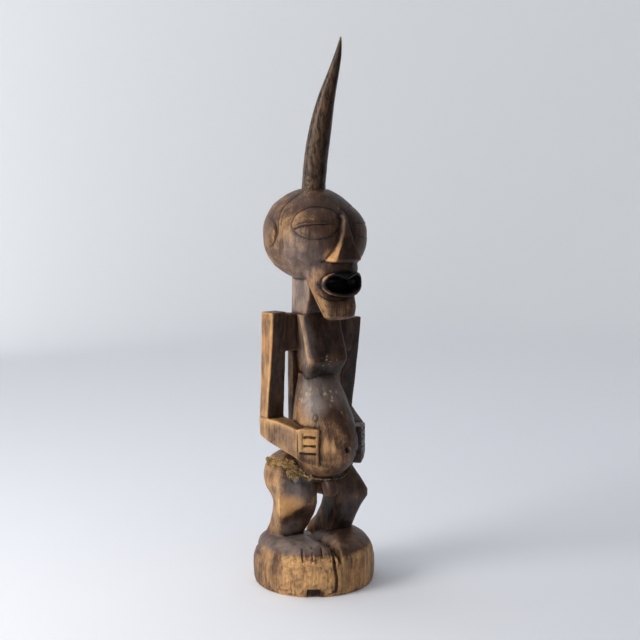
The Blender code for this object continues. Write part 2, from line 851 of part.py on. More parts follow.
def clear_of(tree, point, keep):
    """The point, moved out from the wood until it is keep away from it."""
    for _ in range(8):
        near, _, _, distance = tree.find_nearest(point)
        if distance >= keep:
            break
        point = point + (point - near).normalized() * (keep - distance + 0.02 * MM)
    return point


def cord_route(body):
    """The line of a cord pulled tight round the hips: over what stands out, clear of the wood."""
    bpy.context.view_layer.update()
    tree = BVHTree.FromObject(body, bpy.context.evaluated_depsgraph_get())
    far, keep = 90.0, CORD_RADIUS + FIT_GAP
    reaches = []
    for i in range(CORD_POINTS):
        angle = 2 * math.pi * i / CORD_POINTS
        outward = Vector((-math.sin(angle), -math.cos(angle), 0))
        centre = Vector((0.0, 0.0, cord_height(angle)))
        hit = tree.ray_cast((centre + outward * far) * MM, -outward)[0]
        reaches.append((hit / MM - centre).dot(outward) + keep)
    taut = list(reaches)
    for i in range(CORD_POINTS):
        for back in range(1, CORD_POINTS // 5):
            for ahead in range(1, CORD_POINTS // 5):
                a, b = reaches[i - back], reaches[(i + ahead) % CORD_POINTS]
                one, two = (2 * math.pi * n / CORD_POINTS for n in (back, ahead))
                across = a * b * math.sin(one + two) / (a * math.sin(one) + b * math.sin(two))
                taut[i] = max(taut[i], across)
    route = []
    for i, reach in enumerate(taut):
        angle = 2 * math.pi * i / CORD_POINTS
        route.append(at(-math.sin(angle) * reach, -math.cos(angle) * reach, cord_height(angle)))
    for _ in range(30):
        route = [
            clear_of(tree, (route[i - 1] + route[i] * 2 + route[(i + 1) % CORD_POINTS]) / 4, keep * MM)
            for i in range(CORD_POINTS)
        ]
        for i in range(CORD_POINTS):
            middle = (route[i - 1] + route[i]) / 2
            push = clear_of(tree, middle, keep * MM) - middle
            route[i - 1], route[i] = route[i - 1] + push, route[i] + push
    return route


def waist_cord(body, finish):
    """A closed ring of round cord."""
    route = cord_route(body)
    sides = 6
    bm = bmesh.new()
    rings = []
    for i, point in enumerate(route):
        ahead = (route[(i + 1) % len(route)] - route[i - 1]).normalized()
        outward = ahead.cross(Vector((0, 0, 1))).normalized()
        upward = outward.cross(ahead)
        ring = []
        for j in range(sides):
            turn = 2 * math.pi * j / sides
            spoke = outward * math.cos(turn) + upward * math.sin(turn)
            ring.append(bm.verts.new(point + spoke * CORD_RADIUS * MM))
        rings.append(ring)
    for low, high in zip(rings, rings[1:] + rings[:1]):
        for j in range(sides):
            k = (j + 1) % sides
            bm.faces.new((low[j], low[k], high[k], high[j]))
    made = mesh_object("waist_cord", bm)
    made.data.materials.append(finish)
    made.data.shade_smooth()
    return made


def main():
    clear_scene()
    wood = material("carved_wood", (0.20, 0.12, 0.07), 0.5)
    keratin = material("horn", (0.12, 0.08, 0.05), 0.35)
    fibre = material("plant_fibre", (0.42, 0.30, 0.13), 0.9)
    body = figure(wood)
    horn(keratin)
    waist_cord(body, fibre)


main()
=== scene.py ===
"""The looks of a Songye power figure: carved wood, a horn in the crown and a fibre cord round the hips.

Laid out as a Blender add-on and run as a script. Lengths are metres. He faces -Y and +Z is up."""

import itertools
import math
import random

import bmesh
import bpy
import numpy as np
from mathutils import Matrix, Vector
from mathutils.bvhtree import BVHTree
from mathutils.kdtree import KDTree


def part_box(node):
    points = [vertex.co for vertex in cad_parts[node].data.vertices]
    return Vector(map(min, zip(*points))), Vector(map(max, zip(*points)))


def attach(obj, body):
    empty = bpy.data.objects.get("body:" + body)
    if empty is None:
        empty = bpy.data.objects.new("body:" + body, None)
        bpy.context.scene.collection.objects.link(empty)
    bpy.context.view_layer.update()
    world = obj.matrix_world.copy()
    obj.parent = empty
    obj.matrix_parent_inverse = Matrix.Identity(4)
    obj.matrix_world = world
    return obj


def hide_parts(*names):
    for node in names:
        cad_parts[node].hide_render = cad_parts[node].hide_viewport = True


bl_info = {
    "name": "Songye Power Figure",
    "version": (1, 0, 0),
    "blender": (4, 5, 0),
    "location": "View3D > Sidebar > Power Figure",
    "description": "Finishes a carved standing figure with its horn and its waist cord",
    "category": "Add Mesh",
}

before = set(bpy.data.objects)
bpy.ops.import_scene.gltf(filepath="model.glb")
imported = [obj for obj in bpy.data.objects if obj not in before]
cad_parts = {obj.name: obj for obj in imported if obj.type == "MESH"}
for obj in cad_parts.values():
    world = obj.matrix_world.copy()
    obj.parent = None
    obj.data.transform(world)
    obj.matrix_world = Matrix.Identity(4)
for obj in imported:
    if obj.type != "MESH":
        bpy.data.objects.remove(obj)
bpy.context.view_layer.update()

MM = 0.001
HORN_LOW, HORN_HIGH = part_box("horn")
LOG_RADIUS = 0.0636
BASE_TOP = 0.0335

# The camera that the photograph was taken with, and the photograph's own frame
PHOTO_SIDE = 640
FOCAL_PIXELS = 1150.0
AXIS_PIXEL = 313.0
SENSOR = 36.0


# Settings that a user would change


class WoodSettings(bpy.types.PropertyGroup):
    grid: bpy.props.FloatProperty(
        name="Grid",
        description="Spacing of the fine surface before it is thinned",
        default=0.75 * MM,
        unit="LENGTH",
        precision=5,
    )
    triangles: bpy.props.IntProperty(
        name="Triangles", description="Most triangles of the finished carving", default=192000
    )
    knife_depth: bpy.props.FloatProperty(
        name="Knife depth",
        description="Depth of the shallow facets that the knife left",
        default=0.3 * MM,
        unit="LENGTH",
        precision=5,
    )
    patina: bpy.props.FloatVectorProperty(
        name="Patina",
        description="Darkest handled surface",
        subtype="COLOR",
        default=(0.015, 0.0068, 0.0045),
    )
    brown: bpy.props.FloatVectorProperty(
        name="Brown",
        description="Wood under a thin patina",
        subtype="COLOR",
        default=(0.078, 0.038, 0.021),
    )
    golden: bpy.props.FloatVectorProperty(
        name="Golden",
        description="Wood rubbed bare",
        subtype="COLOR",
        default=(0.41, 0.232, 0.102),
    )
    pale: bpy.props.FloatVectorProperty(
        name="Pale",
        description="Freshly worn wood",
        subtype="COLOR",
        default=(0.68, 0.375, 0.145),
    )
    # Grey of the dust, also used as a painted sheen on the patina
    dust_and_sheen: bpy.props.FloatVectorProperty(
        name="Dust",
        description="Grey bloom on the patina",
        subtype="COLOR",
        default=(0.30, 0.255, 0.235),
    )


class HornSettings(bpy.types.PropertyGroup):
    rings: bpy.props.IntProperty(name="Rings", description="Rows of faces along the horn", default=300)
    sides: bpy.props.IntProperty(name="Sides", description="Faces round the horn", default=96)
    dark: bpy.props.FloatVectorProperty(
        name="Dark horn", description="Main colour", subtype="COLOR", default=(0.016, 0.0085, 0.0045)
    )
    # Colour of the mottled streak on the side facing the window light: wear and painted light
    worn_and_lit: bpy.props.FloatVectorProperty(
        name="Worn horn", description="Rubbed streaks", subtype="COLOR", default=(0.15, 0.082, 0.038)
    )
    tip: bpy.props.FloatVectorProperty(
        name="Tip", description="Pale tip", subtype="COLOR", default=(0.22, 0.145, 0.055)
    )


class CordSettings(bpy.types.PropertyGroup):
    turns: bpy.props.IntProperty(name="Turns", description="Twists round the whole cord", default=46)
    ply_radius: bpy.props.FloatProperty(
        name="Ply radius",
        description="Radius of each of the two plies",
        default=0.7 * MM,
        unit="LENGTH",
        precision=5,
    )
    tangles: bpy.props.IntProperty(name="Tangles", description="Small clumps in the tufts", default=190)
    fibres: bpy.props.IntProperty(name="Fibres", description="Fibres in a tangle", default=26)
    straw: bpy.props.FloatVectorProperty(
        name="Straw", description="Dry fibre", subtype="COLOR", default=(0.76, 0.49, 0.20)
    )
    soiled: bpy.props.FloatVectorProperty(
        name="Soiled", description="Handled fibre", subtype="COLOR", default=(0.035, 0.022, 0.014)
    )


class StageSettings(bpy.types.PropertyGroup):
    distance: bpy.props.FloatProperty(
        name="Distance", description="Camera to the figure's axis", default=1.18, unit="LENGTH"
    )
    height: bpy.props.FloatProperty(
        name="Height", description="Camera over the floor", default=0.4074, unit="LENGTH", precision=4
    )
    turn: bpy.props.FloatProperty(
        name="Turn",
        description="How far the camera stands to his right",
        default=math.radians(38.0),
        unit="ROTATION",
    )
    dip: bpy.props.FloatProperty(
        name="Dip", description="How far the camera looks down", default=math.radians(6.45), unit="ROTATION"
    )
    floor: bpy.props.FloatVectorProperty(
        name="Floor", description="Plain pale floor", subtype="COLOR", default=(0.90, 0.915, 0.955)
    )
    wall: bpy.props.FloatVectorProperty(
        name="Wall", description="Plain pale wall", subtype="COLOR", default=(0.955, 0.96, 0.97)
    )


SETTINGS = {
    "figure_wood": WoodSettings,
    "figure_horn": HornSettings,
    "figure_cord": CordSettings,
    "figure_stage": StageSettings,
}


# Places read off the photograph


def camera_axes():
    """Where the camera stands, and its right, up and ahead directions."""
    stage = bpy.context.scene.figure_stage
    level = Vector((math.sin(stage.turn), math.cos(stage.turn), 0))
    right = Vector((math.cos(stage.turn), -math.sin(stage.turn), 0))
    ahead = level * math.cos(stage.dip) - Vector((0, 0, math.sin(stage.dip)))
    aside = (PHOTO_SIDE / 2 - AXIS_PIXEL) / FOCAL_PIXELS * stage.distance
    place = -level * stage.distance + right * aside + Vector((0, 0, stage.height))
    return place, right, right.cross(ahead), ahead


def surface_tree(node):
    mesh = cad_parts[node].data
    return BVHTree.FromPolygons([v.co for v in mesh.vertices], [p.vertices for p in mesh.polygons])


def seen(tree, pixel):
    """The point of the surface that shows at a pixel of the photograph."""
    place, right, up, ahead = camera_axes()
    across, down = ((p - PHOTO_SIDE / 2) / FOCAL_PIXELS for p in pixel)
    hit = tree.ray_cast(place, (ahead + right * across - up * down).normalized())[0]
    if hit is None:
        raise RuntimeError(f"nothing of the figure shows at pixel {pixel}")
    return hit


def seen_line(tree, pixels):
    """A smooth line over the surface, through the points that show at a few pixels."""
    return eased_line([seen(tree, p) for p in pixels])


def other_side(points):
    """The same points on his other side."""
    return np.array(points) * (-1, 1, 1)


# Fields over points, as arrays


def smooth_step(low, high, value):
    t = np.clip((value - low) / (high - low), 0, 1)
    return t * t * (3 - 2 * t)


def hashed(cells, seed):
    """A repeatable number from 0 to 1 for each row of whole numbers."""
    mixed = cells[:, 0] * 73856093 ^ cells[:, 1] * 19349663 ^ cells[:, 2] * 83492791 ^ seed * 2654435
    mixed = (mixed ^ (mixed >> 13)) * 1274126177 & 0xFFFFFFFF
    return ((mixed ^ (mixed >> 15)) & 0xFFFF) / 65535


def lumps(points, size, seed):
    """Smooth noise from -1 to 1. size is one length, or one for each axis."""
    scaled = points / np.array(size)
    cell = np.floor(scaled).astype(np.int64)
    part = scaled - cell
    part = part * part * (3 - 2 * part)
    total = np.zeros(len(points))
    for corner in itertools.product((0, 1), repeat=3):
        weight = np.prod(np.where(corner, part, 1 - part), axis=1)
        total += weight * hashed(cell + np.array(corner), seed)
    return 2 * total - 1


def scoops(points, size, seed):
    """Shallow bowls side by side, 0 at their middles and about 1 on the ridges between them."""
    scaled = points / np.array(size)
    cell = np.floor(scaled).astype(np.int64)
    nearest = np.full(len(points), 9.0)
    for corner in itertools.product((-1, 0, 1), repeat=3):
        here = cell + np.array(corner)
        middle = np.stack([here[:, k] + hashed(here, seed + k) for k in range(3)], axis=1)
        nearest = np.minimum(nearest, ((scaled - middle) ** 2).sum(axis=1))
    return np.clip(nearest, 0, 1)


def along_line(points, line, reach):
    """Distance to a line of points, and the share of the line's length, for points within reach."""
    line = np.array(line)
    near = np.all((points > line.min(0) - reach) & (points < line.max(0) + reach), axis=1)
    index = np.nonzero(near)[0]
    some = points[index]
    lengths = np.linalg.norm(np.diff(line, axis=0), axis=1)
    starts = np.concatenate([[0], np.cumsum(lengths)])
    best, share = np.full(len(index), np.inf), np.zeros(len(index))
    for i, (a, b) in enumerate(zip(line, line[1:])):
        t = np.clip((some - a) @ (b - a) / (lengths[i] ** 2), 0, 1)
        away = np.linalg.norm(some - (a + t[:, None] * (b - a)), axis=1)
        closer = away < best
        best[closer] = away[closer]
        share[closer] = (starts[i] + t[closer] * lengths[i]) / starts[-1]
    return index, best, share


def eased_line(points, steps=6):
    """A smooth line through a few points."""
    points = np.array(points)
    before = np.vstack([2 * points[0] - points[1], points[:-1]])
    after = np.vstack([points[1:], 2 * points[-1] - points[-2]])
    line = []
    for i in range(len(points) - 1):
        for k in range(steps):
            t = k / steps
            a, b, c, d = before[i], points[i], points[i + 1], after[i + 1]
            bend = 2 * a - 5 * b + 4 * c - d + t * (3 * b - a - 3 * c + d)
            line.append(b + t * (c - a + t * bend) / 2)
    return np.array(line + [points[-1]])


def fading(line, share):
    """1 along a line and 0 at its two ends, or 1 all round a closed line."""
    if np.allclose(line[0], line[-1]):
        return 1.0
    return smooth_step(0, 0.08, share) * smooth_step(1, 0.92, share)


class Surface:
    """A mesh as arrays: where its points are, their normals and their neighbours."""

    def __init__(self, mesh):
        count = len(mesh.vertices)
        self.mesh = mesh
        self.points = np.zeros(count * 3)
        mesh.vertices.foreach_get("co", self.points)
        self.points = self.points.reshape(-1, 3)
        edges = np.zeros(len(mesh.edges) * 2, dtype=np.int32)
        mesh.edges.foreach_get("vertices", edges)
        self.low, self.high = edges.reshape(-1, 2).T
        self.degree = np.bincount(edges, minlength=count).astype(float)

    def mean(self, values):
        """The mean of each point's neighbours."""
        columns = []
        for column in values.reshape(len(values), -1).T:
            total = np.bincount(self.low, column[self.high], len(column))
            total += np.bincount(self.high, column[self.low], len(column))
            columns.append(total / self.degree)
        return np.stack(columns, axis=1).reshape(values.shape)

    def spread(self, values, times):
        for _ in range(times):
            values = (values + self.mean(values)) / 2
        return values

    def store(self):
        self.mesh.vertices.foreach_set("co", self.points.astype(np.float32).ravel())
        self.mesh.update()

    def normals(self):
        self.store()
        normals = np.zeros(len(self.points) * 3, dtype=np.float32)
        self.mesh.vertex_normals.foreach_get("vector", normals)
        return normals.reshape(-1, 3).astype(float)


# The carving


# Lines and spots as they show in the photograph, in pixels
EYE_OUTLINE = ((291.5, 227), (293, 221), (298, 214), (305, 209.5), (312, 207), (320, 207))
EYE_OUTLINE += ((330, 209), (337, 214), (341, 221), (339.5, 226.5), (337, 231), (330, 236))
EYE_OUTLINE += ((320, 239), (310, 239), (303, 237), (296, 233))
LID_SLIT = ((292, 230), (296, 228.6), (303, 226.6), (312, 225.6), (324, 225), (336, 224))
LID_RIDGE = ((292.5, 228.2), (297, 226.2), (304, 224.4), (312, 223.6), (323, 223.2), (330, 222.8))
HAIRLINE = ((306, 190), (297, 196), (287, 204), (281, 213), (278.7, 225), (279.3, 236))
TEMPLE_LINE = ((291, 207), (285.5, 212), (282, 219), (281.5, 226))
CROWN_LINE = ((341, 198.5), (346, 202.5), (351, 208))
EAR_EDGE = ((268, 216), (271.5, 219), (275, 223), (277.3, 229), (277.3, 235), (275, 241), (271, 247))
LOWER_LIP_FOLD = ((316, 292), (322, 297), (330, 300), (340, 300.5), (349, 298))
JAW_LINE = ((317, 299), (320, 306), (324, 313))
BACK_OF_HAND = ((298, 430), (297.5, 440), (298, 453))
THUMB_LINE = ((303, 433), (302.4, 441), (302.8, 450))
FINGER_LINES = (((303, 438), (309, 437.4), (316.5, 438.4)), ((303, 446.4), (309, 446), (316.5, 447)))
HAND_HEEL = ((299, 453.2), (308, 453.8), (317.5, 454.6))
TOE_LINES = (
    ((302, 548), (302.3, 555), (302.5, 562)),
    ((311.3, 547), (312.2, 555), (313, 562)),
    ((320.7, 547), (321.8, 553), (323, 559)),
    ((328.7, 546), (331, 551), (333, 556)),
)
LEFT_HAND_LINES = (
    ((356.5, 430.5), (360.5, 433), (363.8, 435)),
    ((355.5, 440.5), (360, 443.5), (364.5, 446)),
    ((354.5, 450), (358.5, 452.5), (362.5, 454.5)),
)
BASE_CRACK = ((332, 553), (334, 560), (335, 568), (336.5, 577), (336.5, 585), (335.8, 593.5))
# How far from the split the sound wood on each side of it shows, in pixels
CRACK_ASIDE = 2.6
BASE_CRACK_WIDTH, BASE_CRACK_DEPTH = 3.8, 4.5
FOREARM_MARK = ((275.2, 424), (275, 435), (275.2, 441))
BELLY_CRACK = ((319.5, 424), (319, 440), (318.2, 455), (316.5, 474))
THIGH_MARK = ((280.3, 474), (280, 490), (280.4, 506), (281, 522))
KNOT = (315.8, 418)
NAVEL = (346.8, 450.5)

# Lines that the knife cut on both of his sides, then those that show once: line, then width and
# depth in millimetres
MIRRORED_CUTS = (
    (EYE_OUTLINE + EYE_OUTLINE[:1], 1.5, 0.75),
    (LID_SLIT, 1.5, 1.0),
    (HAIRLINE, 1.6, 0.85),
    (TEMPLE_LINE, 1.4, 0.5),
    (EAR_EDGE, 1.8, 0.45),
    (JAW_LINE, 2.0, 0.4),
    (BACK_OF_HAND, 1.5, 0.7),
    (THUMB_LINE, 1.3, 0.45),
    *((line, 3.0, 2.0) for line in FINGER_LINES),
    (HAND_HEEL, 2.8, 1.7),
)
SINGLE_CUTS = (
    (CROWN_LINE, 1.3, 0.55),
    (LOWER_LIP_FOLD, 2.6, 0.45),
    (FOREARM_MARK, 0.9, 0.5),
    (BELLY_CRACK, 1.1, 0.9),
    (THIGH_MARK, 1.0, 0.4),
    *((line, 2.2, 1.6) for line in TOE_LINES),
    *((line, 2.4, 1.2) for line in LEFT_HAND_LINES),
)

# Forms whose joins are worked smooth, where no arris is kept: middle and radius, mirrored
SMOOTH_JOINS = (
    ((0.024, -0.028, 0.327), 0.017),
    ((0.032, 0.020, 0.112), 0.031),
    ((0.018, -0.004, 0.124), 0.022),
    ((0.036, 0.020, 0.056), 0.022),
    ((0.058, -0.002, 0.034), 0.020),
)
ARRIS_ANGLE = math.radians(33)
BLOCKY_ARRIS_ANGLE = math.radians(18)
BLOCKY_FROM, BLOCKY_TO = 0.205, 0.290


def modified_mesh(obj):
    """A new mesh with an object's modifiers applied."""
    bpy.context.view_layer.update()
    return bpy.data.meshes.new_from_object(obj.evaluated_get(bpy.context.evaluated_depsgraph_get()))


def finished_mesh(name, bm):
    mesh = bpy.data.meshes.new(name)
    bm.to_mesh(mesh)
    bm.free()
    return mesh


def store_fields(mesh, fields):
    """Keeps a value for each point and name, for the materials to read."""
    for name, values in fields.items():
        layer = mesh.attributes.new(name, "FLOAT", "POINT")
        layer.data.foreach_set("value", values.astype(np.float32))


def remeshed(node, grid):
    """A copy of a CAD node's shape on a fine even grid."""
    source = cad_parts[node]
    copy = bpy.data.objects.new("fine_copy", source.data.copy())
    bpy.context.scene.collection.objects.link(copy)
    fine = copy.modifiers.new("grid", "REMESH")
    fine.mode = "VOXEL"
    fine.voxel_size = grid
    mesh = modified_mesh(copy)
    bpy.data.objects.remove(copy)
    return mesh


def arris_points(node):
    """Points a millimetre apart along every arris that the carver kept."""
    bm = bmesh.new()
    bm.from_mesh(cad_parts[node].data)
    bmesh.ops.remove_doubles(bm, verts=bm.verts, dist=0.01 * MM)
    found = []
    for edge in bm.edges:
        start, end = (v.co for v in edge.verts)
        middle = (start + end) / 2
        blocky = BLOCKY_FROM < middle.z < BLOCKY_TO
        least = BLOCKY_ARRIS_ANGLE if blocky else ARRIS_ANGLE
        if len(edge.link_faces) != 2 or edge.calc_face_angle() < least:
            continue
        middle.x = abs(middle.x)
        if any((middle - Vector(place)).length < radius for place, radius in SMOOTH_JOINS):
            continue
        steps = max(1, round(edge.calc_length() / MM))
        found += [start.lerp(end, k / steps) for k in range(steps + 1)]
    bm.free()
    return found


def distance_to(points, places):
    tree = KDTree(len(places))
    for i, place in enumerate(places):
        tree.insert(place, i)
    tree.balance()
    return np.array([tree.find(p)[2] for p in points])


def work_smooth(surface):
    """Takes the facets off the rounded forms and just breaks the arrises."""
    away = distance_to(surface.points, arris_points("figure"))
    loose = smooth_step(0.9 * MM, 5 * MM, away)
    for step in range(64):
        amount = np.maximum(loose, 0.5 if step < 3 else 0.0)[:, None] * 0.5
        surface.points += amount * (surface.mean(surface.points) - surface.points)
    surface.points += surface.normals() * (loose * 0.25 * MM)[:, None]


def cut_line(surface, sink, line, width, depth):
    """Sinks a V along a line, fading at its ends."""
    index, away, share = along_line(surface.points, line, 4 * MM)
    wavy = 1 + 0.25 * lumps(surface.points[index], 4 * MM, 11)
    shape = np.clip(1 - away / (width * MM / 2), 0, 1) ** 0.8
    sink[index] = np.maximum(sink[index], shape * fading(line, share) * wavy * depth * MM)


def raise_line(surface, rise, line, width, height):
    """Lifts a rounded bead along a line."""
    index, away, share = along_line(surface.points, line, 4 * MM)
    ends = smooth_step(0, 0.15, share) * smooth_step(1, 0.85, share)
    shape = smooth_step(width * MM / 2, 0, away)
    rise[index] = np.maximum(rise[index], shape * ends * height * MM)


def crack_line(tree):
    """The crack's line on the face of the base, between points that show on either side of it."""
    pairs = [[seen(tree, (x + side, y)) for side in (-CRACK_ASIDE, CRACK_ASIDE)] for x, y in BASE_CRACK]
    return eased_line([(a + b) / 2 for a, b in pairs])


def carved_lines(surface, tree):
    """Every line that the knife cut, in metres below the surface."""
    sink, rise = np.zeros(len(surface.points)), np.zeros(len(surface.points))
    for pixels, width, depth in MIRRORED_CUTS:
        line = seen_line(tree, pixels)
        cut_line(surface, sink, line, width, depth)
        cut_line(surface, sink, other_side(line), width, depth)
    for pixels, width, depth in SINGLE_CUTS:
        cut_line(surface, sink, seen_line(tree, pixels), width, depth)
    cut_line(surface, sink, crack_line(tree), BASE_CRACK_WIDTH, BASE_CRACK_DEPTH)
    lid = seen_line(tree, LID_RIDGE)
    for line in (lid, other_side(lid)):
        raise_line(surface, rise, line, 2.6, 0.7)
    return sink - rise


def eye_swell(surface, tree):
    """Swells each eye inside its outline, most just above and below the slit."""
    outline = np.array([seen(tree, p) for p in EYE_OUTLINE])
    middle, half = (outline.max(0) + outline.min(0)) / 2, (outline.max(0) - outline.min(0)) / 2
    x, y, z = surface.points.T
    from_middle = np.hypot((np.abs(x) - abs(middle[0])) / half[0], (z - middle[2]) / half[2])
    front = y < middle[1] + half[1] + 4 * MM
    return front * 1.3 * MM * np.clip(1 - from_middle**2, 0, 1) ** 0.7


def navel_dip(surface, tree):
    """A drilled navel, wider than the CAD one at its mouth."""
    away = np.linalg.norm(surface.points - np.array(seen(tree, NAVEL)), axis=1) / (3.1 * MM)
    return 2.2 * MM * smooth_step(1.0, 0.35, away) - 0.35 * MM * np.exp(-(((away - 1.25) / 0.3) ** 2))


def knot_ring(surface, tree):
    """A small oval knot on the belly: a ring sunk round a low boss."""
    away = np.linalg.norm((surface.points - np.array(seen(tree, KNOT))) / (2.6, 2.6, 3.4), axis=1) / MM
    return 0.32 * MM * np.exp(-(((away - 1) / 0.28) ** 2)) - 0.2 * MM * np.exp(-((away / 0.6) ** 2))


def chipped_edge(surface):
    """Small losses along the rim of the base and on its bottom edge."""
    x, y, z = surface.points.T
    radius = np.hypot(x, y)
    rim = smooth_step(0.057, 0.062, radius) * np.exp(-(((z - BASE_TOP - 0.004) / 0.006) ** 2))
    foot = smooth_step(0.056, 0.061, radius) * np.exp(-((z / 0.004) ** 2))
    ragged = smooth_step(0.1, 0.75, lumps(surface.points, 7 * MM, 21))
    ragged += 0.6 * smooth_step(0.2, 0.8, lumps(surface.points, 3 * MM, 22))
    return (0.8 * rim + 1.3 * foot) * ragged * MM


def weathered_base(surface, sideways):
    """Split, fibrous end of the log: upright grooves of many widths."""
    x, y, z = surface.points.T
    turn = np.arctan2(x, y) * LOG_RADIUS
    around = np.stack([turn, np.zeros_like(turn), z], axis=1)
    shown = smooth_step(BASE_TOP + 0.004, BASE_TOP - 0.004, z) * smooth_step(0.5, 0.8, sideways)
    shown *= smooth_step(0.052, 0.058, np.hypot(x, y))
    broad = np.maximum(0, lumps(around, (3.4 * MM, 1, 44 * MM), 31)) ** 1.2
    fine = np.maximum(0, lumps(around, (1.5 * MM, 1, 20 * MM), 32)) ** 1.3
    pits = smooth_step(0.7, 1.0, lumps(around, (1.7 * MM, 1, 5.5 * MM), 33))
    flecks = 0.3 * np.maximum(0, lumps(surface.points, (3.4 * MM, 3.4 * MM, 3 * MM), 34))
    return shown * (0.42 * broad + 0.3 * fine + 0.25 * pits + flecks) * MM


def knife_work(surface, depth):
    """Shallow facets left by the knife, longer along the grain, and slower unevenness."""
    facets = scoops(surface.points, (8.5 * MM, 8.5 * MM, 15 * MM), 5)
    slow = lumps(surface.points, (17 * MM, 17 * MM, 26 * MM), 6)
    grain = lumps(surface.points, (1.9 * MM, 1.9 * MM, 22 * MM), 7)
    return depth * (-facets + 0.9 * slow) + 0.07 * MM * grain


def relief(surface, settings):
    """Everything finer than the solid, sunk along the normals."""
    tree = surface_tree("figure")
    normals = surface.normals()
    sideways = np.hypot(normals[:, 0], normals[:, 1])
    sink = carved_lines(surface, tree) + knot_ring(surface, tree)
    sink += navel_dip(surface, tree) - eye_swell(surface, tree)
    sink += knife_work(surface, settings.knife_depth)
    sink += chipped_edge(surface) + weathered_base(surface, sideways)
    resting = surface.points[:, 2] < 0.6 * MM
    sink[resting] *= 0.2
    surface.points -= normals * sink[:, None]
    surface.points[:, 2] = np.maximum(surface.points[:, 2], 0)


def thinned(obj, triangles):
    """Fewer triangles where the surface is plain."""
    count = sum(len(p.vertices) - 2 for p in obj.data.polygons)
    fewer = obj.modifiers.new("thin", "DECIMATE")
    fewer.ratio = min(1.0, triangles / count)
    mesh = modified_mesh(obj)
    old = obj.data
    obj.modifiers.clear()
    obj.data = mesh
    bpy.data.meshes.remove(old)


# Where the wood is dark, rubbed or dusty, and where light and shade are painted on it. Facings pick the
# sides that a patch lies on.
RIGHTWARDS, FORWARDS, UPWARDS = (-1, 0, 0), (0, -1, 0), (0, 0, 1)

# How bare the wood is, from -1 for dark patina through 0 for brown to 1 for pale worn wood, with
# patches of painted shade and painted highlight among them: level, strength, pixel, half sizes in
# millimetres along X, Y and Z, and facing
WEAR_AND_LIGHT_PATCHES = (
    (-0.55, 0.9, (325, 338), (30, 14, 30), FORWARDS),
    (-0.60, 0.9, (276, 370), (16, 12, 62), FORWARDS),
    (-0.60, 0.8, (356, 350), (16, 12, 55), FORWARDS),
    # Painted shade on the far side of his forehead, turned away from the window light.
    (-0.65, 0.85, (347, 206), (22, 26, 24), None),
    (-0.45, 0.8, (318, 199), (30, 30, 13), None),
    (-0.70, 0.9, (350, 246), (15, 9, 26), FORWARDS),
    (0.62, 0.8, (264, 366), (9, 22, 64), RIGHTWARDS),
    (0.08, 0.8, (262, 411), (9, 22, 12), RIGHTWARDS),
    (-0.25, 0.8, (267, 546), (14, 20, 9), None),
    (0.36, 0.7, (262, 427), (10, 22, 14), RIGHTWARDS),
    (0.15, 0.7, (283, 437), (24, 22, 14), None),
    (0.6, 0.7, (284, 419), (20, 24, 7), UPWARDS),
    (0.85, 0.95, (308, 441), (11.5, 12, 13), None),
    (-0.30, 0.8, (308, 462), (12, 12, 7), None),
    (0.75, 0.95, (336, 248), (4.5, 9, 17), RIGHTWARDS),
    (0.85, 0.9, (330, 257), (5, 8, 7), None),
    (0.30, 0.7, (284, 229), (8, 12, 9), None),
    (-0.10, 0.7, (270, 230), (9, 20, 18), None),
    (-0.45, 0.8, (298, 258), (18, 22, 15), None),
    (0.28, 0.7, (316, 276), (7, 10, 8), None),
    (0.35, 0.8, (321, 305), (5, 12, 10), RIGHTWARDS),
    (0.05, 0.7, (340, 308), (16, 9, 9), FORWARDS),
    # Painted light on the left facet of the chest.
    (0.18, 0.7, (303, 345), (6, 10, 24), RIGHTWARDS),
    (0.45, 0.8, (297, 420), (11, 14, 15), RIGHTWARDS),
    (0.05, 0.7, (338, 430), (15, 13, 22), None),
    (0.85, 0.9, (326, 446), (2.6, 6, 8.5), None),
    (0.9, 0.9, (333, 448), (2.0, 6, 7), None),
    (0.32, 0.7, (330, 461), (20, 16, 9), None),
    (0.10, 0.8, (272, 472), (10, 24, 20), None),
    (0.45, 0.8, (275, 505), (12, 20, 26), RIGHTWARDS),
    # These two: partly wear and partly a painted highlight on his right knee.
    (1.35, 1.0, (292, 504), (12, 10, 9), None),
    (1.1, 0.9, (286, 511), (8, 9, 7), None),
    (-0.25, 0.8, (299, 526), (13, 13, 9), FORWARDS),
    (-0.45, 0.8, (350, 478), (18, 18, 18), None),
    # Partly wear and partly a painted highlight on his left knee.
    (0.05, 0.7, (352, 497), (10, 9, 4), None),
    (-0.75, 0.8, (335, 515), (16, 16, 16), None),
    (-0.85, 0.95, (331, 489), (11, 11, 12), None),
    (-0.9, 0.95, (361, 440), (10, 14, 26), None),
    # Painted shade under the breast.
    (-0.95, 0.9, (324, 371), (24, 10, 7.5), None),
    (-0.75, 0.8, (353, 380), (18, 14, 42), FORWARDS),
    # Painted shade round his far eye, turned away from the window light.
    (-0.55, 0.8, (352, 228), (20, 20, 26), FORWARDS),
)
# Arrises rubbed to bare wood, those on the chest facet and the left knee partly painted highlights:
# strength, half width in millimetres, then pixels
RUBBED_EDGES = (
    # Partly rubbed wood and partly a painted highlight along the edge of the chest's left facet.
    (0.6, 2.0, ((301.5, 319), (303.5, 332), (305.5, 346), (307.5, 358))),
    (0.35, 1.4, ((309, 360), (318, 364), (330, 366), (341, 362.5), (348, 358))),
    (0.45, 1.5, ((272.5, 317), (271.5, 340), (269.5, 370), (267, 400), (266, 414))),
    (0.40, 1.4, ((268, 420), (280, 424), (293, 430))),
    (0.35, 1.3, ((297.5, 431), (306, 429.5), (318, 431))),
    # Partly rubbed wood and partly a painted highlight on his left knee.
    (0.14, 1.5, ((347, 497), (352, 498), (358, 496))),
)
# The same on the side of the base: its notch, and a brown patch left of the golden part
BASE_PATCHES = (
    (-0.55, 1.0, (314, 593), (8.5, 12, 4.5), None),
    (0.25, 0.7, (268, 563), (9, 20, 10), None),
)
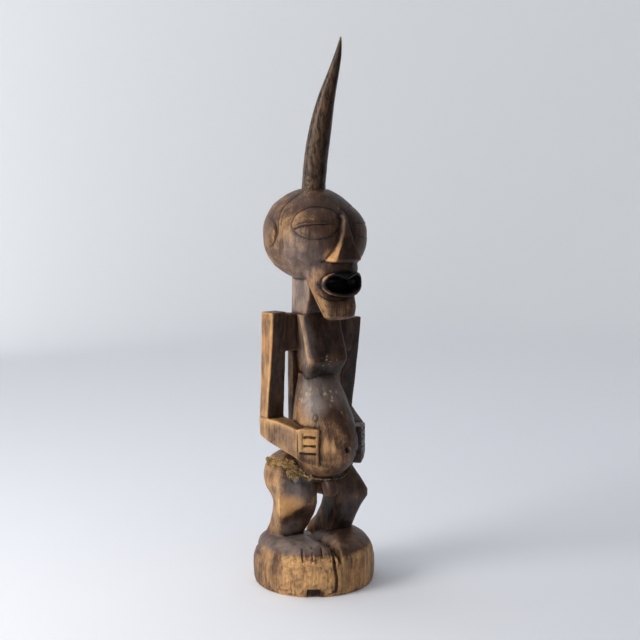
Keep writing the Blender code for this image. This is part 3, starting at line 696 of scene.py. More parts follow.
# How dusty the patina is, from 0 to 1, with a grey painted sheen on the belly, the side of the neck and the
# tops of the feet in the same patches
DUST_AND_SHEEN_PATCHES = (
    (0.85, 1.0, (312, 402), (13, 13, 14), None),
    (0.55, 0.9, (312, 388), (20, 13, 10), None),
    (0.45, 0.8, (335, 395), (12, 12, 12), None),
    (0.45, 0.8, (300, 258), (20, 22, 22), None),
    (0.75, 0.9, (298, 293), (12, 18, 22), RIGHTWARDS),
    # Painted light on the left facet of the chest.
    (0.65, 0.9, (304, 342), (8, 10, 28), None),
    (0.8, 0.9, (300, 543), (30, 26, 8), UPWARDS),
    (0.8, 0.95, (297, 486), (14, 12, 13), None),
    (0.55, 0.8, (291, 527), (9, 10, 8), None),
    (0.25, 0.6, (284, 437), (20, 20, 12), RIGHTWARDS),
    (0.35, 0.8, (267, 546), (14, 26, 9), None),
    (0.30, 0.7, (310, 268), (10, 12, 12), None),
)
# Light specks where the patina has flaked
FLAKE_PATCHES = (
    (1.0, 1.0, (329, 361), (8, 8, 5), None),
    (0.9, 1.0, (307, 367), (6, 8, 4), None),
    (0.9, 1.0, (300, 396), (9, 10, 8), None),
    (1.0, 1.0, (332, 397), (9, 9, 7), None),
    (0.8, 1.0, (313, 392), (10, 10, 4), None),
    (0.4, 1.0, (303, 193), (14, 14, 7), None),
)
# Pale scratches: half width in millimetres, then pixels
SCRATCHES = (
    (0.45, ((325, 214.5), (327, 218), (327.6, 222))),
    (0.35, ((337.5, 207.5), (339.6, 211))),
    (0.35, ((312.5, 213), (309, 216))),
    (0.35, ((341, 411), (344.5, 418))),
    (0.3, ((318, 402), (321, 407))),
)
# The lips' height over the floor, and their half width and half height in millimetres
LIPS_MIDDLE, LIPS_HALF_WIDTH, LIPS_HALF_HEIGHT = 0.3149, 23.8, 12.6
# The golden part of the base: pixel columns of its two sides and pixel row of its top
GOLDEN_BASE_LEFT, GOLDEN_BASE_RIGHT = 279.0, 337.0
GOLDEN_BASE_TOP = 553.0


def patched(points, normals, tree, patches, field):
    """Paints soft oval patches over a field, each round the point that shows at its pixel."""
    for level, strength, pixel, sizes, facing in patches:
        middle = np.array(seen(tree, pixel))
        away = (((points - middle) / (np.array(sizes) * MM)) ** 2).sum(axis=1)
        weight = strength * np.exp(-(away**1.5) * 0.7)
        if facing:
            weight *= smooth_step(0.15, 0.6, normals @ np.array(facing))
        field += weight * (level - field)
    return field


def photo_columns(points):
    """Where points would show in the photograph."""
    place, right, up, ahead = (np.array(v) for v in camera_axes())
    depth = (points - place) @ ahead
    return (
        PHOTO_SIDE / 2 + FOCAL_PIXELS * ((points - place) @ right) / depth,
        PHOTO_SIDE / 2 - FOCAL_PIXELS * ((points - place) @ up) / depth,
    )


def rubbed_base(points, normals):
    """How bare the side of the base is: golden in front, brown round the back."""
    x, y, z = points.T
    across, down = photo_columns(points)
    facing = normals @ np.array((-math.sin(0.66), -math.cos(0.66), 0)) > 0.1
    ragged = 5 * lumps(points, (5 * MM, 5 * MM, 30 * MM), 41) + 2 * lumps(points, 2 * MM, 42)
    golden = smooth_step(GOLDEN_BASE_LEFT - 2, GOLDEN_BASE_LEFT + 2, across + 0.5 * ragged)
    golden *= smooth_step(GOLDEN_BASE_RIGHT + 3, GOLDEN_BASE_RIGHT, across)
    golden *= smooth_step(GOLDEN_BASE_TOP - 2, GOLDEN_BASE_TOP + 2, down + 0.35 * ragged) * facing
    side = smooth_step(BASE_TOP + 0.011, BASE_TOP + 0.004, z)
    side *= smooth_step(0.35, 0.7, np.hypot(*normals.T[:2]))
    side *= smooth_step(0.05, 0.056, np.hypot(x, y))
    plain = 0.22 + 0.25 * lumps(points, (4 * MM, 4 * MM, 40 * MM), 43)
    streaky = smooth_step(GOLDEN_BASE_RIGHT, GOLDEN_BASE_RIGHT + 4, across) * facing
    plain += streaky * (0.32 + 0.32 * lumps(points, (2.4 * MM, 2.4 * MM, 34 * MM), 47))
    dabs = smooth_step(0.1, 0.45, lumps(points, (3.0 * MM, 3.0 * MM, 2.1 * MM), 44))
    dabs += 0.9 * smooth_step(0.2, 0.5, lumps(points, (1.25 * MM, 1.25 * MM, 2.6 * MM), 46))
    dabs -= 0.5 * smooth_step(0.15, 0.6, lumps(points, (2.2 * MM, 2.2 * MM, 5 * MM), 48))
    return side, plain + golden * (0.86 - 0.42 * dabs - plain)


def dark_lips_and_mouth_shade(points):
    """The lips, dark in their own colour, and the hollow of the mouth, made near black as painted shade."""
    x, y, z = points.T
    from_middle = np.hypot(x / (LIPS_HALF_WIDTH * MM), (z - LIPS_MIDDLE) / (LIPS_HALF_HEIGHT * MM))
    ragged = 0.03 * lumps(points, 3 * MM, 45)
    inside = smooth_step(1.09, 1.03, from_middle + ragged) * smooth_step(-0.026, -0.030, y)
    low = LIPS_MIDDLE - LIPS_HALF_HEIGHT * MM * 0.3
    lower_rim = smooth_step(low, low - 0.4 * LIPS_HALF_HEIGHT * MM, z) * smooth_step(0.82, 0.95, from_middle)
    return inside * (1 - 0.3 * lower_rim)


def incised(points, tree):
    """How near each point is to the bottom of a line that the knife cut."""
    depth = np.zeros(len(points))
    for pixels, width, cut in (*MIRRORED_CUTS, *SINGLE_CUTS):
        line = seen_line(tree, pixels)
        mirrored = (other_side(line),) if (pixels, width, cut) in MIRRORED_CUTS else ()
        for one in (line, *mirrored):
            index, away, share = along_line(points, one, 4 * MM)
            dark = smooth_step(width * 0.58 * MM, width * 0.26 * MM, away) * fading(one, share)
            depth[index] = np.maximum(depth[index], dark * min(1.0, 0.45 + cut * 0.5))
    # The split in the base is darkened right down its walls: painted shade in the split.
    index, _, share = along_line(points, crack_line(tree), 6.5 * MM)
    across, down = photo_columns(points[index])
    columns, rows = np.array(BASE_CRACK).T
    aside = np.abs(across - np.interp(down, rows, columns))
    depth[index] = np.maximum(depth[index], smooth_step(1.9, 1.2, aside) * smooth_step(1, 0.97, share))
    navel = np.linalg.norm(points - np.array(seen(tree, NAVEL)), axis=1)
    return np.maximum(depth, smooth_step(4.0 * MM, 2.0 * MM, navel))


def base_level(points, normals):
    """The level that each side has before any patch: partly wear and partly painted light and shade, lighter
    on his flanks and a little lighter on his back, darker on faces turned forwards.
    """
    level = np.full(len(points), -0.2)
    # Painted light and shade by facing, mixed with wear: flanks lighter, faces turned forwards darker.
    level += 0.26 * smooth_step(0.2, 0.9, np.abs(normals[:, 0]))
    level -= 0.25 * smooth_step(0.3, 0.9, -normals[:, 1])
    level += 0.1 * smooth_step(0.3, 0.9, normals[:, 1])
    return level


FINE_HOLLOW, BROAD_HOLLOW = 0.12 * MM, 0.5 * MM


def finish_fields(surface):
    """Stores how worn, dusty, flaked and hollow each point is, for the wood's material, with painted light
    and shade mixed into the wear and a painted sheen into the dust.
    """
    tree = surface_tree("figure")
    points, normals = surface.points, surface.normals()
    near = surface.spread(points, 4)
    wide = surface.spread(near, 14)
    fine_hollow = ((near - points) * normals).sum(axis=1) / FINE_HOLLOW
    broad_hollow = ((wide - near) * normals).sum(axis=1) / BROAD_HOLLOW

    wear_and_painted_light = patched(points, normals, tree, WEAR_AND_LIGHT_PATCHES, base_level(points, normals))
    side, tone_level = rubbed_base(points, normals)
    wear_and_painted_light += side * (tone_level - wear_and_painted_light)
    wear_and_painted_light = patched(points, normals, tree, BASE_PATCHES, wear_and_painted_light)
    wear_and_painted_light += 0.14 * lumps(points, (9 * MM, 9 * MM, 22 * MM), 51) + 0.08 * lumps(points, 3.5 * MM, 52)
    wear_and_painted_light += (0.5 - 0.28 * smooth_step(0.09, 0.075, points[:, 2])) * np.clip(-broad_hollow - 0.12, 0, 1)
    for strength, width, pixels in RUBBED_EDGES:
        index, away, share = along_line(points, seen_line(tree, pixels), 6 * MM)
        broken = 0.75 + 0.5 * lumps(points[index], (3 * MM, 3 * MM, 7 * MM), 53)
        wear_and_painted_light[index] += strength * broken * smooth_step(width * 1.7 * MM, width * 0.3 * MM, away)
    for width, pixels in SCRATCHES:
        line = seen_line(tree, pixels)
        index, away, _ = along_line(points, line, 3 * MM)
        wear_and_painted_light[index] += 1.3 * smooth_step(width * 1.6 * MM, 0, away)

    dust_and_sheen = patched(points, normals, tree, DUST_AND_SHEEN_PATCHES, np.full(len(points), 0.03)) * (1 - side)
    flakes = patched(points, normals, tree, FLAKE_PATCHES, np.zeros(len(points)))
    speck = smooth_step(0.45, 0.8, lumps(points, 1.2 * MM, 61) + 0.5 * lumps(points, 0.8 * MM, 62))
    cuts = incised(points, tree)
    hollow = 0.8 * np.clip(fine_hollow, 0, 1) + 0.7 * np.clip(broad_hollow, 0, 1)
    store_fields(surface.mesh, {
        "wear_and_painted_light": np.clip(wear_and_painted_light, -1, 1.35),
        "dust_and_sheen": np.clip(dust_and_sheen, 0, 1),
        "flaked": flakes * speck,
        "hollow": np.clip(np.maximum(hollow * (1 - 0.6 * side), cuts), 0, 1),
        "lips_and_mouth_shade": dark_lips_and_mouth_shade(points),
    })


# Materials


class Shader:
    """A material's node tree with short calls for the few nodes that these finishes use."""

    def __init__(self, name):
        self.material = bpy.data.materials.new(name)
        self.material.use_nodes = True
        self.nodes = self.material.node_tree.nodes
        self.links = self.material.node_tree.links
        self.principled = self.nodes["Principled BSDF"]

    def put(self, socket, value):
        if isinstance(value, bpy.types.NodeSocket):
            self.links.new(value, socket)
        elif isinstance(value, (tuple, list)) and len(value) == 3 and socket.type == "RGBA":
            socket.default_value = (*value, 1.0)
        else:
            socket.default_value = value

    def place(self, scale):
        """The object's own coordinates, stretched by scale."""
        coordinates = self.nodes.new("ShaderNodeTexCoord")
        mapping = self.nodes.new("ShaderNodeMapping")
        self.links.new(coordinates.outputs["Object"], mapping.inputs["Vector"])
        mapping.inputs["Scale"].default_value = scale
        return mapping.outputs["Vector"]

    def noise(self, size, detail=4.0, roughness=0.55, distortion=0.0):
        """Noise from 0 to 1 with lumps of size along each axis."""
        node = self.nodes.new("ShaderNodeTexNoise")
        self.links.new(self.place([1 / s for s in size]), node.inputs["Vector"])
        node.inputs["Scale"].default_value = 1.0
        node.inputs["Detail"].default_value = detail
        node.inputs["Roughness"].default_value = roughness
        node.inputs["Distortion"].default_value = distortion
        return node.outputs["Fac"]

    def field(self, name):
        node = self.nodes.new("ShaderNodeAttribute")
        node.attribute_name = name
        return node.outputs["Fac"]

    def math(self, operation, first, second=0.0, clamp=False):
        node = self.nodes.new("ShaderNodeMath")
        node.operation = operation
        node.use_clamp = clamp
        self.put(node.inputs[0], first)
        self.put(node.inputs[1], second)
        return node.outputs[0]

    def scaled(self, value, factor, offset):
        result = self.math("MULTIPLY_ADD", value, factor)
        result.node.inputs[2].default_value = offset
        return result

    def fit(self, value, low, high, new_low=0.0, new_high=1.0):
        node = self.nodes.new("ShaderNodeMapRange")
        node.interpolation_type = "SMOOTHSTEP"
        self.put(node.inputs["Value"], value)
        node.inputs["From Min"].default_value = low
        node.inputs["From Max"].default_value = high
        node.inputs["To Min"].default_value = new_low
        node.inputs["To Max"].default_value = new_high
        return node.outputs["Result"]

    def mix(self, share, first, second, blend="MIX"):
        node = self.nodes.new("ShaderNodeMix")
        node.data_type = "RGBA"
        node.blend_type = blend
        self.put(node.inputs["Factor"], share)
        self.put(node.inputs[6], first)
        self.put(node.inputs[7], second)
        return node.outputs[2]

    def ramp(self, value, stops):
        node = self.nodes.new("ShaderNodeValToRGB")
        self.put(node.inputs["Fac"], value)
        elements = node.color_ramp.elements
        while len(elements) < len(stops):
            elements.new(0.5)
        for element, (position, colour) in zip(elements, stops):
            element.position = position
            element.color = (*colour, 1.0)
        return node.outputs["Color"]

    def bump(self, height, distance, strength=1.0, after=None):
        node = self.nodes.new("ShaderNodeBump")
        node.inputs["Distance"].default_value = distance
        node.inputs["Strength"].default_value = strength
        self.put(node.inputs["Height"], height)
        if after:
            self.put(node.inputs["Normal"], after)
        return node.outputs["Normal"]

    def finish(self, **sockets):
        for name, value in sockets.items():
            self.put(self.principled.inputs[name.replace("_", " ")], value)
        return self.material


def wood_material():
    """Dark handled wood, golden where it is rubbed bare, grey where dust has bedded in, with painted sheen,
    painted highlights and painted shade mixed into the same colours.
    """
    colours = bpy.context.scene.figure_wood
    wood = Shader("carved_wood_finish")
    blotch = wood.noise((0.011, 0.011, 0.024), detail=5.0, distortion=0.4)
    streak = wood.noise((0.0011, 0.0011, 0.030), detail=6.0, roughness=0.62)
    pore = wood.noise((0.00042, 0.00042, 0.0065), detail=2.0)
    speck = wood.noise((0.0007, 0.0007, 0.0012), detail=3.0, roughness=0.7)

    # Level on the colour ramp: wear, with painted light and shade
    tone_level = wood.scaled(wood.field("wear_and_painted_light"), 0.40, 0.42)
    tone_level = wood.math("ADD", tone_level, wood.fit(blotch, 0.3, 0.7, -0.10, 0.10))
    tone_level = wood.math("ADD", tone_level, wood.fit(streak, 0.3, 0.7, -0.08, 0.07))
    tone_level = wood.math("ADD", tone_level, wood.fit(speck, 0.3, 0.7, -0.04, 0.04), clamp=True)
    tones = (colours.patina, colours.brown, colours.golden, colours.pale)
    colour = wood.ramp(tone_level, [(level, tuple(tone)) for level, tone in zip((0.10, 0.40, 0.68, 0.95), tones)])

    warm = wood.mix(1.0, colour, (1.25, 0.86, 0.62), "MULTIPLY")
    warmth = wood.fit(wood.noise((0.02, 0.02, 0.03), detail=2.0), 0.45, 0.7, 0.0, 0.28)
    colour = wood.mix(warmth, colour, warm)
    # Grey dust and painted sheen over the patina
    dust_and_sheen_share = wood.math("MULTIPLY", wood.field("dust_and_sheen"), wood.fit(blotch, 0.25, 0.65, 0.25, 1.0))
    dust_and_sheen_share = wood.math("MULTIPLY", dust_and_sheen_share, wood.fit(speck, 0.25, 0.6, 0.55, 1.0))
    colour = wood.mix(dust_and_sheen_share, colour, tuple(colours.dust_and_sheen))
    pores = wood.math("MULTIPLY", wood.fit(pore, 0.60, 0.72), wood.fit(tone_level, 0.3, 0.7, 0.15, 0.55))
    colour = wood.mix(pores, colour, tuple(colours.patina))
    hollow = wood.math("MULTIPLY", wood.field("hollow"), 0.85)
    colour = wood.mix(hollow, colour, tuple(0.45 * c for c in colours.patina))
    colour = wood.mix(wood.field("flaked"), colour, (0.60, 0.47, 0.27))
    # Near black lips, and painted shade in the hollow of the mouth.
    colour = wood.mix(wood.field("lips_and_mouth_shade"), colour, (0.0045, 0.0028, 0.003))

    specular = wood.scaled(wood.field("dust_and_sheen"), 0.3, 0.2)
    roughness = wood.fit(tone_level, 0.1, 0.8, 0.30, 0.60)
    roughness = wood.math("ADD", roughness, wood.fit(speck, 0.3, 0.7, -0.06, 0.08))
    normal = wood.bump(streak, 0.35 * MM, 0.55)
    normal = wood.bump(pore, 0.12 * MM, 0.6, normal)
    normal = wood.bump(blotch, 0.5 * MM, 0.35, normal)
    return wood.finish(Base_Color=colour, Roughness=roughness, Normal=normal, Specular_IOR_Level=specular)


def horn_material():
    """Dark horn with lengthwise fibres, a pale tip, and a mottled lighter streak on the side facing the
    window light, part rubbed wear and part painted light.
    """
    colours = bpy.context.scene.figure_horn
    horn = Shader("horn_finish")
    fibre = horn.noise((0.0007, 0.0007, 0.035), detail=5.0, roughness=0.6)
    mottle = horn.noise((0.0035, 0.0035, 0.011), detail=5.0, roughness=0.65, distortion=0.6)
    rubbed_and_lit_side = horn.math("MULTIPLY", horn.field("rubbed_and_lit_side"), horn.fit(mottle, 0.38, 0.66))
    rubbed_and_lit_side = horn.math("MULTIPLY", rubbed_and_lit_side, horn.fit(fibre, 0.3, 0.6, 0.45, 1.0))
    colour = horn.mix(horn.fit(fibre, 0.35, 0.75, 0.0, 0.3), tuple(colours.dark), (0.06, 0.034, 0.018))
    colour = horn.mix(rubbed_and_lit_side, colour, tuple(colours.worn_and_lit))
    colour = horn.mix(horn.field("tip"), colour, tuple(colours.tip))
    colour = horn.mix(horn.field("pitted"), colour, (0.012, 0.008, 0.006))
    roughness = horn.fit(mottle, 0.3, 0.7, 0.22, 0.38)
    normal = horn.bump(fibre, 0.12 * MM, 0.35)
    normal = horn.bump(mottle, 0.3 * MM, 0.3, normal)
    return horn.finish(Base_Color=colour, Roughness=roughness, Normal=normal, Specular_IOR_Level=0.2)


def fibre_material():
    """Dry plant fibre, dark where hands and sweat have soiled it."""
    colours = bpy.context.scene.figure_cord
    cord = Shader("plant_fibre_finish")
    hairs = cord.noise((0.0004, 0.0004, 0.0004), detail=3.0, roughness=0.7)
    patches = cord.noise((0.003, 0.003, 0.003), detail=3.0)
    soiled = cord.math("ADD", cord.field("soiled"), cord.fit(patches, 0.3, 0.7, -0.25, 0.25), clamp=True)
    colour = cord.mix(soiled, tuple(colours.straw), tuple(colours.soiled))
    colour = cord.mix(cord.fit(hairs, 0.45, 0.75, 0.0, 0.4), colour, (0.06, 0.034, 0.017))
    normal = cord.bump(hairs, 0.15 * MM, 0.8)
    return cord.finish(Base_Color=colour, Roughness=0.85, Normal=normal)


def floor_material():
    """Plain pale floor that pales further towards the wall."""
    stage = bpy.context.scene.figure_stage
    floor = Shader("floor_finish")
    coordinates = floor.nodes.new("ShaderNodeTexCoord")
    away = floor.nodes.new("ShaderNodeVectorMath")
    away.operation = "LENGTH"
    floor.links.new(coordinates.outputs["Object"], away.inputs[0])
    colour = floor.mix(floor.fit(away.outputs["Value"], 0.6, 2.4), tuple(stage.floor), tuple(stage.wall))
    return floor.finish(Base_Color=colour, Roughness=0.9, Specular_IOR_Level=0.2)


# The pieces


def shown(name, mesh, material, slot, node):
    """Adds a piece that stands for a CAD node, shaded smooth."""
    obj = bpy.data.objects.new(name, mesh)
    bpy.context.scene.collection.objects.link(obj)
    mesh.materials.clear()
    mesh.materials.append(material)
    mesh.shade_smooth()
    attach(obj, "root")
    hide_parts(node)
    return obj


class FIGURE_OT_carving(bpy.types.Operator):
    """Carves the wooden figure: rounded forms, knife lines, weathered base, patina and wear, with painted
    light and shade mixed into the wear
    """

    bl_idname = "power_figure.carving"
    bl_label = "Carve the figure"

    def execute(self, context):
        settings = context.scene.figure_wood
        mesh = remeshed("figure", settings.grid)
        surface = Surface(mesh)
        work_smooth(surface)
        relief(surface, settings)
        surface.store()
        obj = shown("carved_figure", mesh, wood_material(), "carved_wood", "figure")
        thinned(obj, settings.triangles)
        obj.data.shade_smooth()
        finish_fields(Surface(obj.data))
        return {"FINISHED"}


HORN_ROOT_RADIUS = 11


def horn_line(levels):
    """The horn's middle line and radius at each level, measured off the CAD horn."""
    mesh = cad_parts["horn"].data
    places = np.array([v.co for v in mesh.vertices])
    ends = places[np.array([e.vertices for e in mesh.edges])]
    middles, radii = [], []
    for z in levels:
        low, high = ends[:, 0], ends[:, 1]
        crossing = (low[:, 2] - z) * (high[:, 2] - z) < 0
        low, high = low[crossing], high[crossing]
        cut = low + ((z - low[:, 2]) / (high[:, 2] - low[:, 2]))[:, None] * (high - low)
        middle = (cut.min(axis=0) + cut.max(axis=0)) / 2
        middles.append(middle)
        radii.append(np.hypot(*(cut - middle)[:, :2].T).mean())
    return np.array(middles), np.array(radii)


class FIGURE_OT_horn(bpy.types.Operator):
    """Makes the horn: fine fibres along it, faint growth ridges at the root and a pale tip"""

    bl_idname = "power_figure.horn"
    bl_label = "Make the horn"

    def execute(self, context):
        settings = context.scene.figure_horn
        rings, sides = settings.rings, settings.sides
        share = np.linspace(0, 1, rings)
        levels = np.linspace(HORN_LOW.z + 0.1 * MM, HORN_HIGH.z - 0.2 * MM, rings)
        line, radius = horn_line(levels)
        for _ in range(40):
            line[1:-1] = (line[:-2] + 2 * line[1:-1] + line[2:]) / 4
            radius[1:-1] = (radius[:-2] + 2 * radius[1:-1] + radius[2:]) / 4
        turn = 2 * np.pi * np.arange(sides) / sides
        out = np.stack([np.cos(turn), np.sin(turn), 0 * turn], axis=1)
        points = line[:, None, :] + out[None, :, :] * radius[:, None, None]
        flat = points.reshape(-1, 3)
        away = np.tile(out, (rings, 1))
        height = np.repeat(share, sides)
        around = np.tile(np.stack([np.cos(turn), np.sin(turn)], axis=1), (rings, 1)) * HORN_ROOT_RADIUS * MM
        unrolled = np.column_stack([around, flat[:, 2]])
        groove = 0.16 * lumps(unrolled, (1.6 * MM, 1.6 * MM, 60 * MM), 71)
        groove += 0.22 * lumps(unrolled, (5 * MM, 5 * MM, 40 * MM), 72)
        ridge = 0.16 * lumps(unrolled, (30 * MM, 30 * MM, 3.4 * MM), 73) * smooth_step(0.6, 0.1, height)
        dents = -0.5 * smooth_step(0.45, 0.9, lumps(unrolled, (2.6 * MM, 2.6 * MM, 7 * MM), 74))
        rough = 0.3 * lumps(unrolled, 1.6 * MM, 75) * smooth_step(0.2, 0.08, height)
        slim = np.clip(np.repeat(radius, sides) / (HORN_ROOT_RADIUS * MM), 0.1, 1)
        flat += away * ((groove + ridge + dents + rough) * MM * slim)[:, None]

        bm = bmesh.new()
        verts = [bm.verts.new(p) for p in flat]
        for i in range(rings - 1):
            for j in range(sides):
                k = (j + 1) % sides
                a, b = i * sides, (i + 1) * sides
                bm.faces.new((verts[a + j], verts[a + k], verts[b + k], verts[b + j]))
        bm.faces.new(list(reversed(verts[:sides])))
        bm.faces.new(verts[-sides:])
        mesh = finished_mesh("horn_sheath", bm)

        # Lighter on the side facing the window light: mottled wear with painted light.
        facing = away @ np.array((-0.93, 0.1, 0.0))
        rubbed_and_lit_side = smooth_step(0.1, 0.85, facing + 0.35 * lumps(unrolled, (6 * MM, 6 * MM, 25 * MM), 76))
        rubbed_and_lit_side = 0.2 + 0.8 * rubbed_and_lit_side
        store_fields(mesh, {
            "rubbed_and_lit_side": rubbed_and_lit_side * smooth_step(1.0, 0.85, height),
            "tip": smooth_step(0.93, 1.0, height + 0.03 * lumps(unrolled, 3 * MM, 77)),
            "pitted": smooth_step(0.5, 0.85, lumps(unrolled, (2.4 * MM, 2.4 * MM, 5 * MM), 78)) * 0.7,
        })
        shown("horn_sheath", mesh, horn_material(), "horn", "horn")
        return {"FINISHED"}


# Where the cord shows frayed: column of the photograph, half length in pixels, how far the
# fibres hang and their share of all fibres
TUFTS = (
    (271.5, 2.6, 1.6, 0.17),
    (277.5, 2.8, 0.6, 0.13),
    (286.0, 2.6, 1.5, 0.24),
    (291.5, 3.4, 2.0, 0.36),
    (301.0, 6.0, 0.4, 0.10),
)
CORD_STEPS = 480


def cord_route():
    """The cord's middle line, read from the CAD cord, from the back over his right side."""
    points = np.array([v.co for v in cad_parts["waist_cord"].data.vertices])
    bearing = np.arctan2(-points[:, 0], points[:, 1])
    route = []
    for k in range(CORD_STEPS):
        turn = 2 * math.pi * k / CORD_STEPS
        off = np.abs((bearing - turn + math.pi) % (2 * math.pi) - math.pi)
        weight = np.exp(-((off / math.radians(3.2)) ** 2))
        route.append((points * weight[:, None]).sum(axis=0) / weight.sum())
    return np.array(route)


def ring_frame(route):
    """Directions outwards and upwards, square to a closed line, at each of its points."""
    ahead = np.roll(route, -1, axis=0) - np.roll(route, 1, axis=0)
    ahead /= np.linalg.norm(ahead, axis=1)[:, None]
    out = np.cross(ahead, (0, 0, -1.0))
    out /= np.linalg.norm(out, axis=1)[:, None]
    return ahead, out, np.cross(out, ahead)


def closed_tube(bm, line, radius, sides, layer, soiled):
    """A tube round a closed line."""
    _, out, up = ring_frame(line)
    rings = []
    for i, point in enumerate(line):
        ring = []
        for j in range(sides):
            turn = 2 * math.pi * j / sides
            spoke = out[i] * math.cos(turn) + up[i] * math.sin(turn)
            vert = bm.verts.new(point + spoke * radius[i])
            vert[layer] = soiled[i]
            ring.append(vert)
        rings.append(ring)
    for low, high in zip(rings, rings[1:] + rings[:1]):
        for j in range(sides):
            k = (j + 1) % sides
            bm.faces.new((low[j], high[j], high[k], low[k]))


def fibre(bm, start, heading, length, radius, layer, soiled, rng):
    """One loose fibre: a thin three-sided rod that bends and tapers to a point."""
    point, heading = Vector(start), Vector(heading).normalized()
    steps = 5
    previous = None
    for i in range(steps):
        side = heading.orthogonal().normalized()
        other = heading.cross(side)
        thick = radius * (1 - 0.8 * i / (steps - 1))
        ring = []
        for j in range(3):
            turn = 2 * math.pi * j / 3
            vert = bm.verts.new(point + (side * math.cos(turn) + other * math.sin(turn)) * thick)
            vert[layer] = soiled
            ring.append(vert)
        if previous:
            for j in range(3):
                k = (j + 1) % 3
                bm.faces.new((previous[j], previous[k], ring[k], ring[j]))
        else:
            bm.faces.new(list(reversed(ring)))
        previous = ring
        sway = Vector([rng.uniform(-1, 1) for _ in range(3)])
        heading = (heading + 0.85 * sway + Vector((0, 0, -0.12))).normalized()
        point = point + heading * (length / (steps - 1))
    bm.faces.new(previous)


class FIGURE_OT_cord(bpy.types.Operator):
    """Twists the waist cord from two plies and frays it where it has worn"""

    bl_idname = "power_figure.cord"
    bl_label = "Twist the cord"

    def execute(self, context):
        settings = context.scene.figure_cord
        material = fibre_material()
        route = cord_route()
        _, out, up = ring_frame(route)
        share = np.arange(CORD_STEPS) / CORD_STEPS
        front = smooth_step(0.36, 0.44, share) * smooth_step(0.80, 0.70, share)
        thick = 1 - 0.42 * front
        soiled = 0.62 + 0.3 * front + 0.12 * np.sin(37 * share * math.pi)
        bm = bmesh.new()
        layer = bm.verts.layers.float.new("soiled")
        for ply in (0.0, math.pi):
            turn = 2 * math.pi * settings.turns * share + ply
            spoke = out * np.cos(turn)[:, None] + up * np.sin(turn)[:, None]
            swell = 1 + 0.1 * np.sin(share * 211) + 0.08 * np.sin(share * 97 + 1)
            line = route + spoke * (settings.ply_radius * 0.85 * thick)[:, None]
            closed_tube(bm, line, settings.ply_radius * thick * swell, 8, layer, soiled)
        mesh = finished_mesh("waist_cord_plies", bm)
        shown("waist_cord_plies", mesh, material, "plant_fibre", "waist_cord")

        rng = random.Random(7)
        bm = bmesh.new()
        layer = bm.verts.layers.float.new("soiled")
        across, _ = photo_columns(route)
        depth = (route - np.array(camera_axes()[0])) @ np.array(camera_axes()[3])
        shown_side = np.nonzero(depth < depth.mean())[0]
        skin = surface_tree("figure")
        for _ in range(settings.tangles):
            column, half, hang, _ = rng.choices(TUFTS, weights=[share for *_, share in TUFTS])[0]
            column += half * max(-1.5, min(1.5, rng.gauss(0, 0.8)))
            i = int(shown_side[np.abs(across[shown_side] - column).argmin()])
            outward = Vector(out[i]) + Vector(up[i]) * rng.uniform(-0.6, 0.4)
            ahead = Vector(route[(i + 1) % CORD_STEPS] - route[i]).normalized()
            beside = Vector(route[i]) + ahead * rng.gauss(0, 0.8) * MM
            beside += outward * 3 * MM - Vector((0, 0, rng.gauss(1.0, 1.5) * hang * MM))
            spot, outward, _, _ = skin.find_nearest(beside)
            middle = spot + outward * rng.uniform(0.5, 2.6) * MM
            soil = rng.choice((-0.5, -0.3, 0.0, 0.85, 0.9))
            for _ in range(settings.fibres):
                start = middle + Vector([rng.gauss(0, 0.55) for _ in range(3)]) * MM
                heading = outward * 0.2 + Vector([rng.uniform(-1, 1) for _ in range(3)])
                length = rng.uniform(1.6, 4.4) * MM
                radius = rng.uniform(0.18, 0.38) * MM
                fibre(bm, start, heading, length, radius, layer, soil + rng.uniform(-0.2, 0.25), rng)
        mesh = finished_mesh("waist_cord_frays", bm)
        shown("waist_cord_frays", mesh, material, "plant_fibre", "waist_cord")
        return {"FINISHED"}


# The stage


FLAT_RADIUS = 2.0
WALL_RADIUS = 3.2
WALL_HEIGHT = 3.4
CARD_AWAY = 0.72
CARD_SPAN, CARD_HEIGHTS = (-0.75, 0.3), (-0.2, 0.75)


def floor_sweep(material):
    """A round pale floor that curves up into a plain wall far behind, from every side."""
    profile = [(0.0, 0.0), (0.4, 0.0), (1.0, 0.0), (FLAT_RADIUS, 0.0)]
    curve = WALL_RADIUS - FLAT_RADIUS
    for k in range(1, 17):
        turn = math.pi / 2 * k / 16
        profile.append((FLAT_RADIUS + curve * math.sin(turn), curve * (1 - math.cos(turn))))
    profile.append((WALL_RADIUS, WALL_HEIGHT))
    bm = bmesh.new()
    verts = [bm.verts.new((r, 0, z)) for r, z in profile]
    edges = [bm.edges.new(pair) for pair in zip(verts, verts[1:])]
    bmesh.ops.spin(
        bm, geom=verts + edges, angle=2 * math.pi, steps=96, axis=(0, 0, 1), cent=(0, 0, 0), use_merge=True
    )
    bmesh.ops.remove_doubles(bm, verts=bm.verts, dist=0.01 * MM)
    bmesh.ops.recalc_face_normals(bm, faces=bm.faces)
    mesh = finished_mesh("pale_floor", bm)
    floor = bpy.data.objects.new("pale_floor", mesh)
    bpy.context.scene.collection.objects.link(floor)
    mesh.materials.append(material)
    mesh.shade_smooth()


def soft_light(name, place, target, size, watts, colour):
    lamp = bpy.data.lights.new(name, "AREA")
    lamp.shape = "RECTANGLE"
    lamp.size, lamp.size_y = size
    lamp.energy = watts
    lamp.color = colour
    obj = bpy.data.objects.new(name, lamp)
    obj.location = place
    obj.rotation_euler = (Vector(target) - Vector(place)).to_track_quat("-Z", "Y").to_euler()
    obj.visible_camera = False
    bpy.context.scene.collection.objects.link(obj)


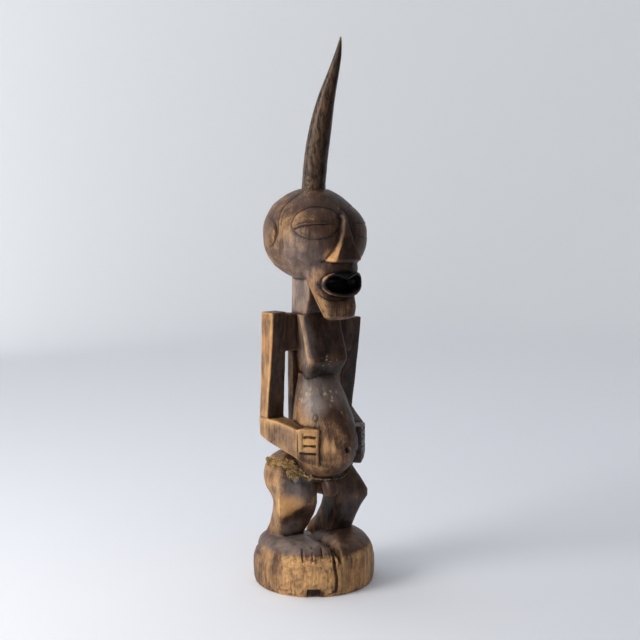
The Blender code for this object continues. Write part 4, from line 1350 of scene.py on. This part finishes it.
def dark_card(middle, right, level):
    """A matt dark card out of the picture, where the photographed room is dark."""
    mesh = bpy.data.meshes.new("dark_card")
    (near, far), (low, high) = CARD_SPAN, CARD_HEIGHTS
    corners = ((near, low), (far, low), (far, high), (near, high))
    corners = [middle + level * along + Vector((0, 0, over)) + right * CARD_AWAY for along, over in corners]
    mesh.from_pydata(corners, [], [(0, 1, 2, 3)])
    card = bpy.data.objects.new("dark_card", mesh)
    bpy.context.scene.collection.objects.link(card)
    mesh.materials.append(Shader("dark_card_finish").finish(Base_Color=(0.13, 0.13, 0.135), Roughness=1.0))
    card.visible_camera = False


class FIGURE_OT_stage(bpy.types.Operator):
    """Sets the pale floor, the soft window light from his right and the photograph's camera"""

    bl_idname = "power_figure.stage"
    bl_label = "Set the stage"

    def execute(self, context):
        stage = context.scene.figure_stage
        place, right, up, ahead = camera_axes()
        floor_sweep(floor_material())

        level = Vector((ahead.x, ahead.y, 0)).normalized()
        middle = Vector((0, 0, 0.28))
        window = middle - right * 1.25 - level * 0.75 + Vector((0, 0, 0.42))
        soft_light("window_light", window, middle, (0.8, 0.9), 20.0, (1.0, 0.97, 0.93))
        above = middle - right * 0.6 + level * 0.35 + Vector((0, 0, 1.5))
        soft_light("ceiling_light", above, middle, (1.0, 1.0), 3.8, (0.95, 0.97, 1.0))
        beyond = -right * 1.5 + level * 1.1 + Vector((0, 0, 1.0))
        far_wall = -right * 2.4 + level * 2.4 + Vector((0, 0, 0.9))
        soft_light("wall_light", beyond, far_wall, (1.0, 1.0), 13.0, (0.97, 0.98, 1.0))

        dark_card(middle, right, level)

        world = bpy.data.worlds.new("soft_room")
        world.use_nodes = True
        world.node_tree.nodes["Background"].inputs["Color"].default_value = (0.66, 0.685, 0.73, 1.0)
        world.node_tree.nodes["Background"].inputs["Strength"].default_value = 0.66
        context.scene.world = world
        context.scene.view_settings.view_transform = "Standard"

        lens = bpy.data.cameras.new("photo_camera")
        lens.sensor_width = SENSOR
        lens.lens = FOCAL_PIXELS / PHOTO_SIDE * SENSOR
        lens.clip_end = 20
        camera = bpy.data.objects.new("photo_camera", lens)
        camera.matrix_world = Matrix.Translation(place) @ Matrix((right, up, -ahead)).transposed().to_4x4()
        context.scene.collection.objects.link(camera)
        context.scene.camera = camera
        return {"FINISHED"}


class FIGURE_PT_panel(bpy.types.Panel):
    """Lists the steps and the settings in the 3D view's sidebar"""

    bl_idname = "FIGURE_PT_panel"
    bl_label = "Power Figure"
    bl_space_type = "VIEW_3D"
    bl_region_type = "UI"
    bl_category = "Power Figure"

    def draw(self, context):
        for step, settings in STEPS:
            box = self.layout.box()
            box.operator(step.bl_idname)
            group = getattr(context.scene, settings)
            for name in group.bl_rna.properties.keys():
                if name not in ("rna_type", "name"):
                    box.prop(group, name)


STEPS = (
    (FIGURE_OT_stage, "figure_stage"),
    (FIGURE_OT_carving, "figure_wood"),
    (FIGURE_OT_horn, "figure_horn"),
    (FIGURE_OT_cord, "figure_cord"),
)
CLASSES = (*SETTINGS.values(), *(step for step, _ in STEPS), FIGURE_PT_panel)


def register():
    for cls in CLASSES:
        bpy.utils.register_class(cls)
    for name, group in SETTINGS.items():
        setattr(bpy.types.Scene, name, bpy.props.PointerProperty(type=group))


def unregister():
    for name in SETTINGS:
        delattr(bpy.types.Scene, name)
    for cls in reversed(CLASSES):
        bpy.utils.unregister_class(cls)


def main():
    register()
    bpy.ops.power_figure.stage()
    bpy.ops.power_figure.carving()
    bpy.ops.power_figure.horn()
    bpy.ops.power_figure.cord()


if __name__ == "__main__":
    main()
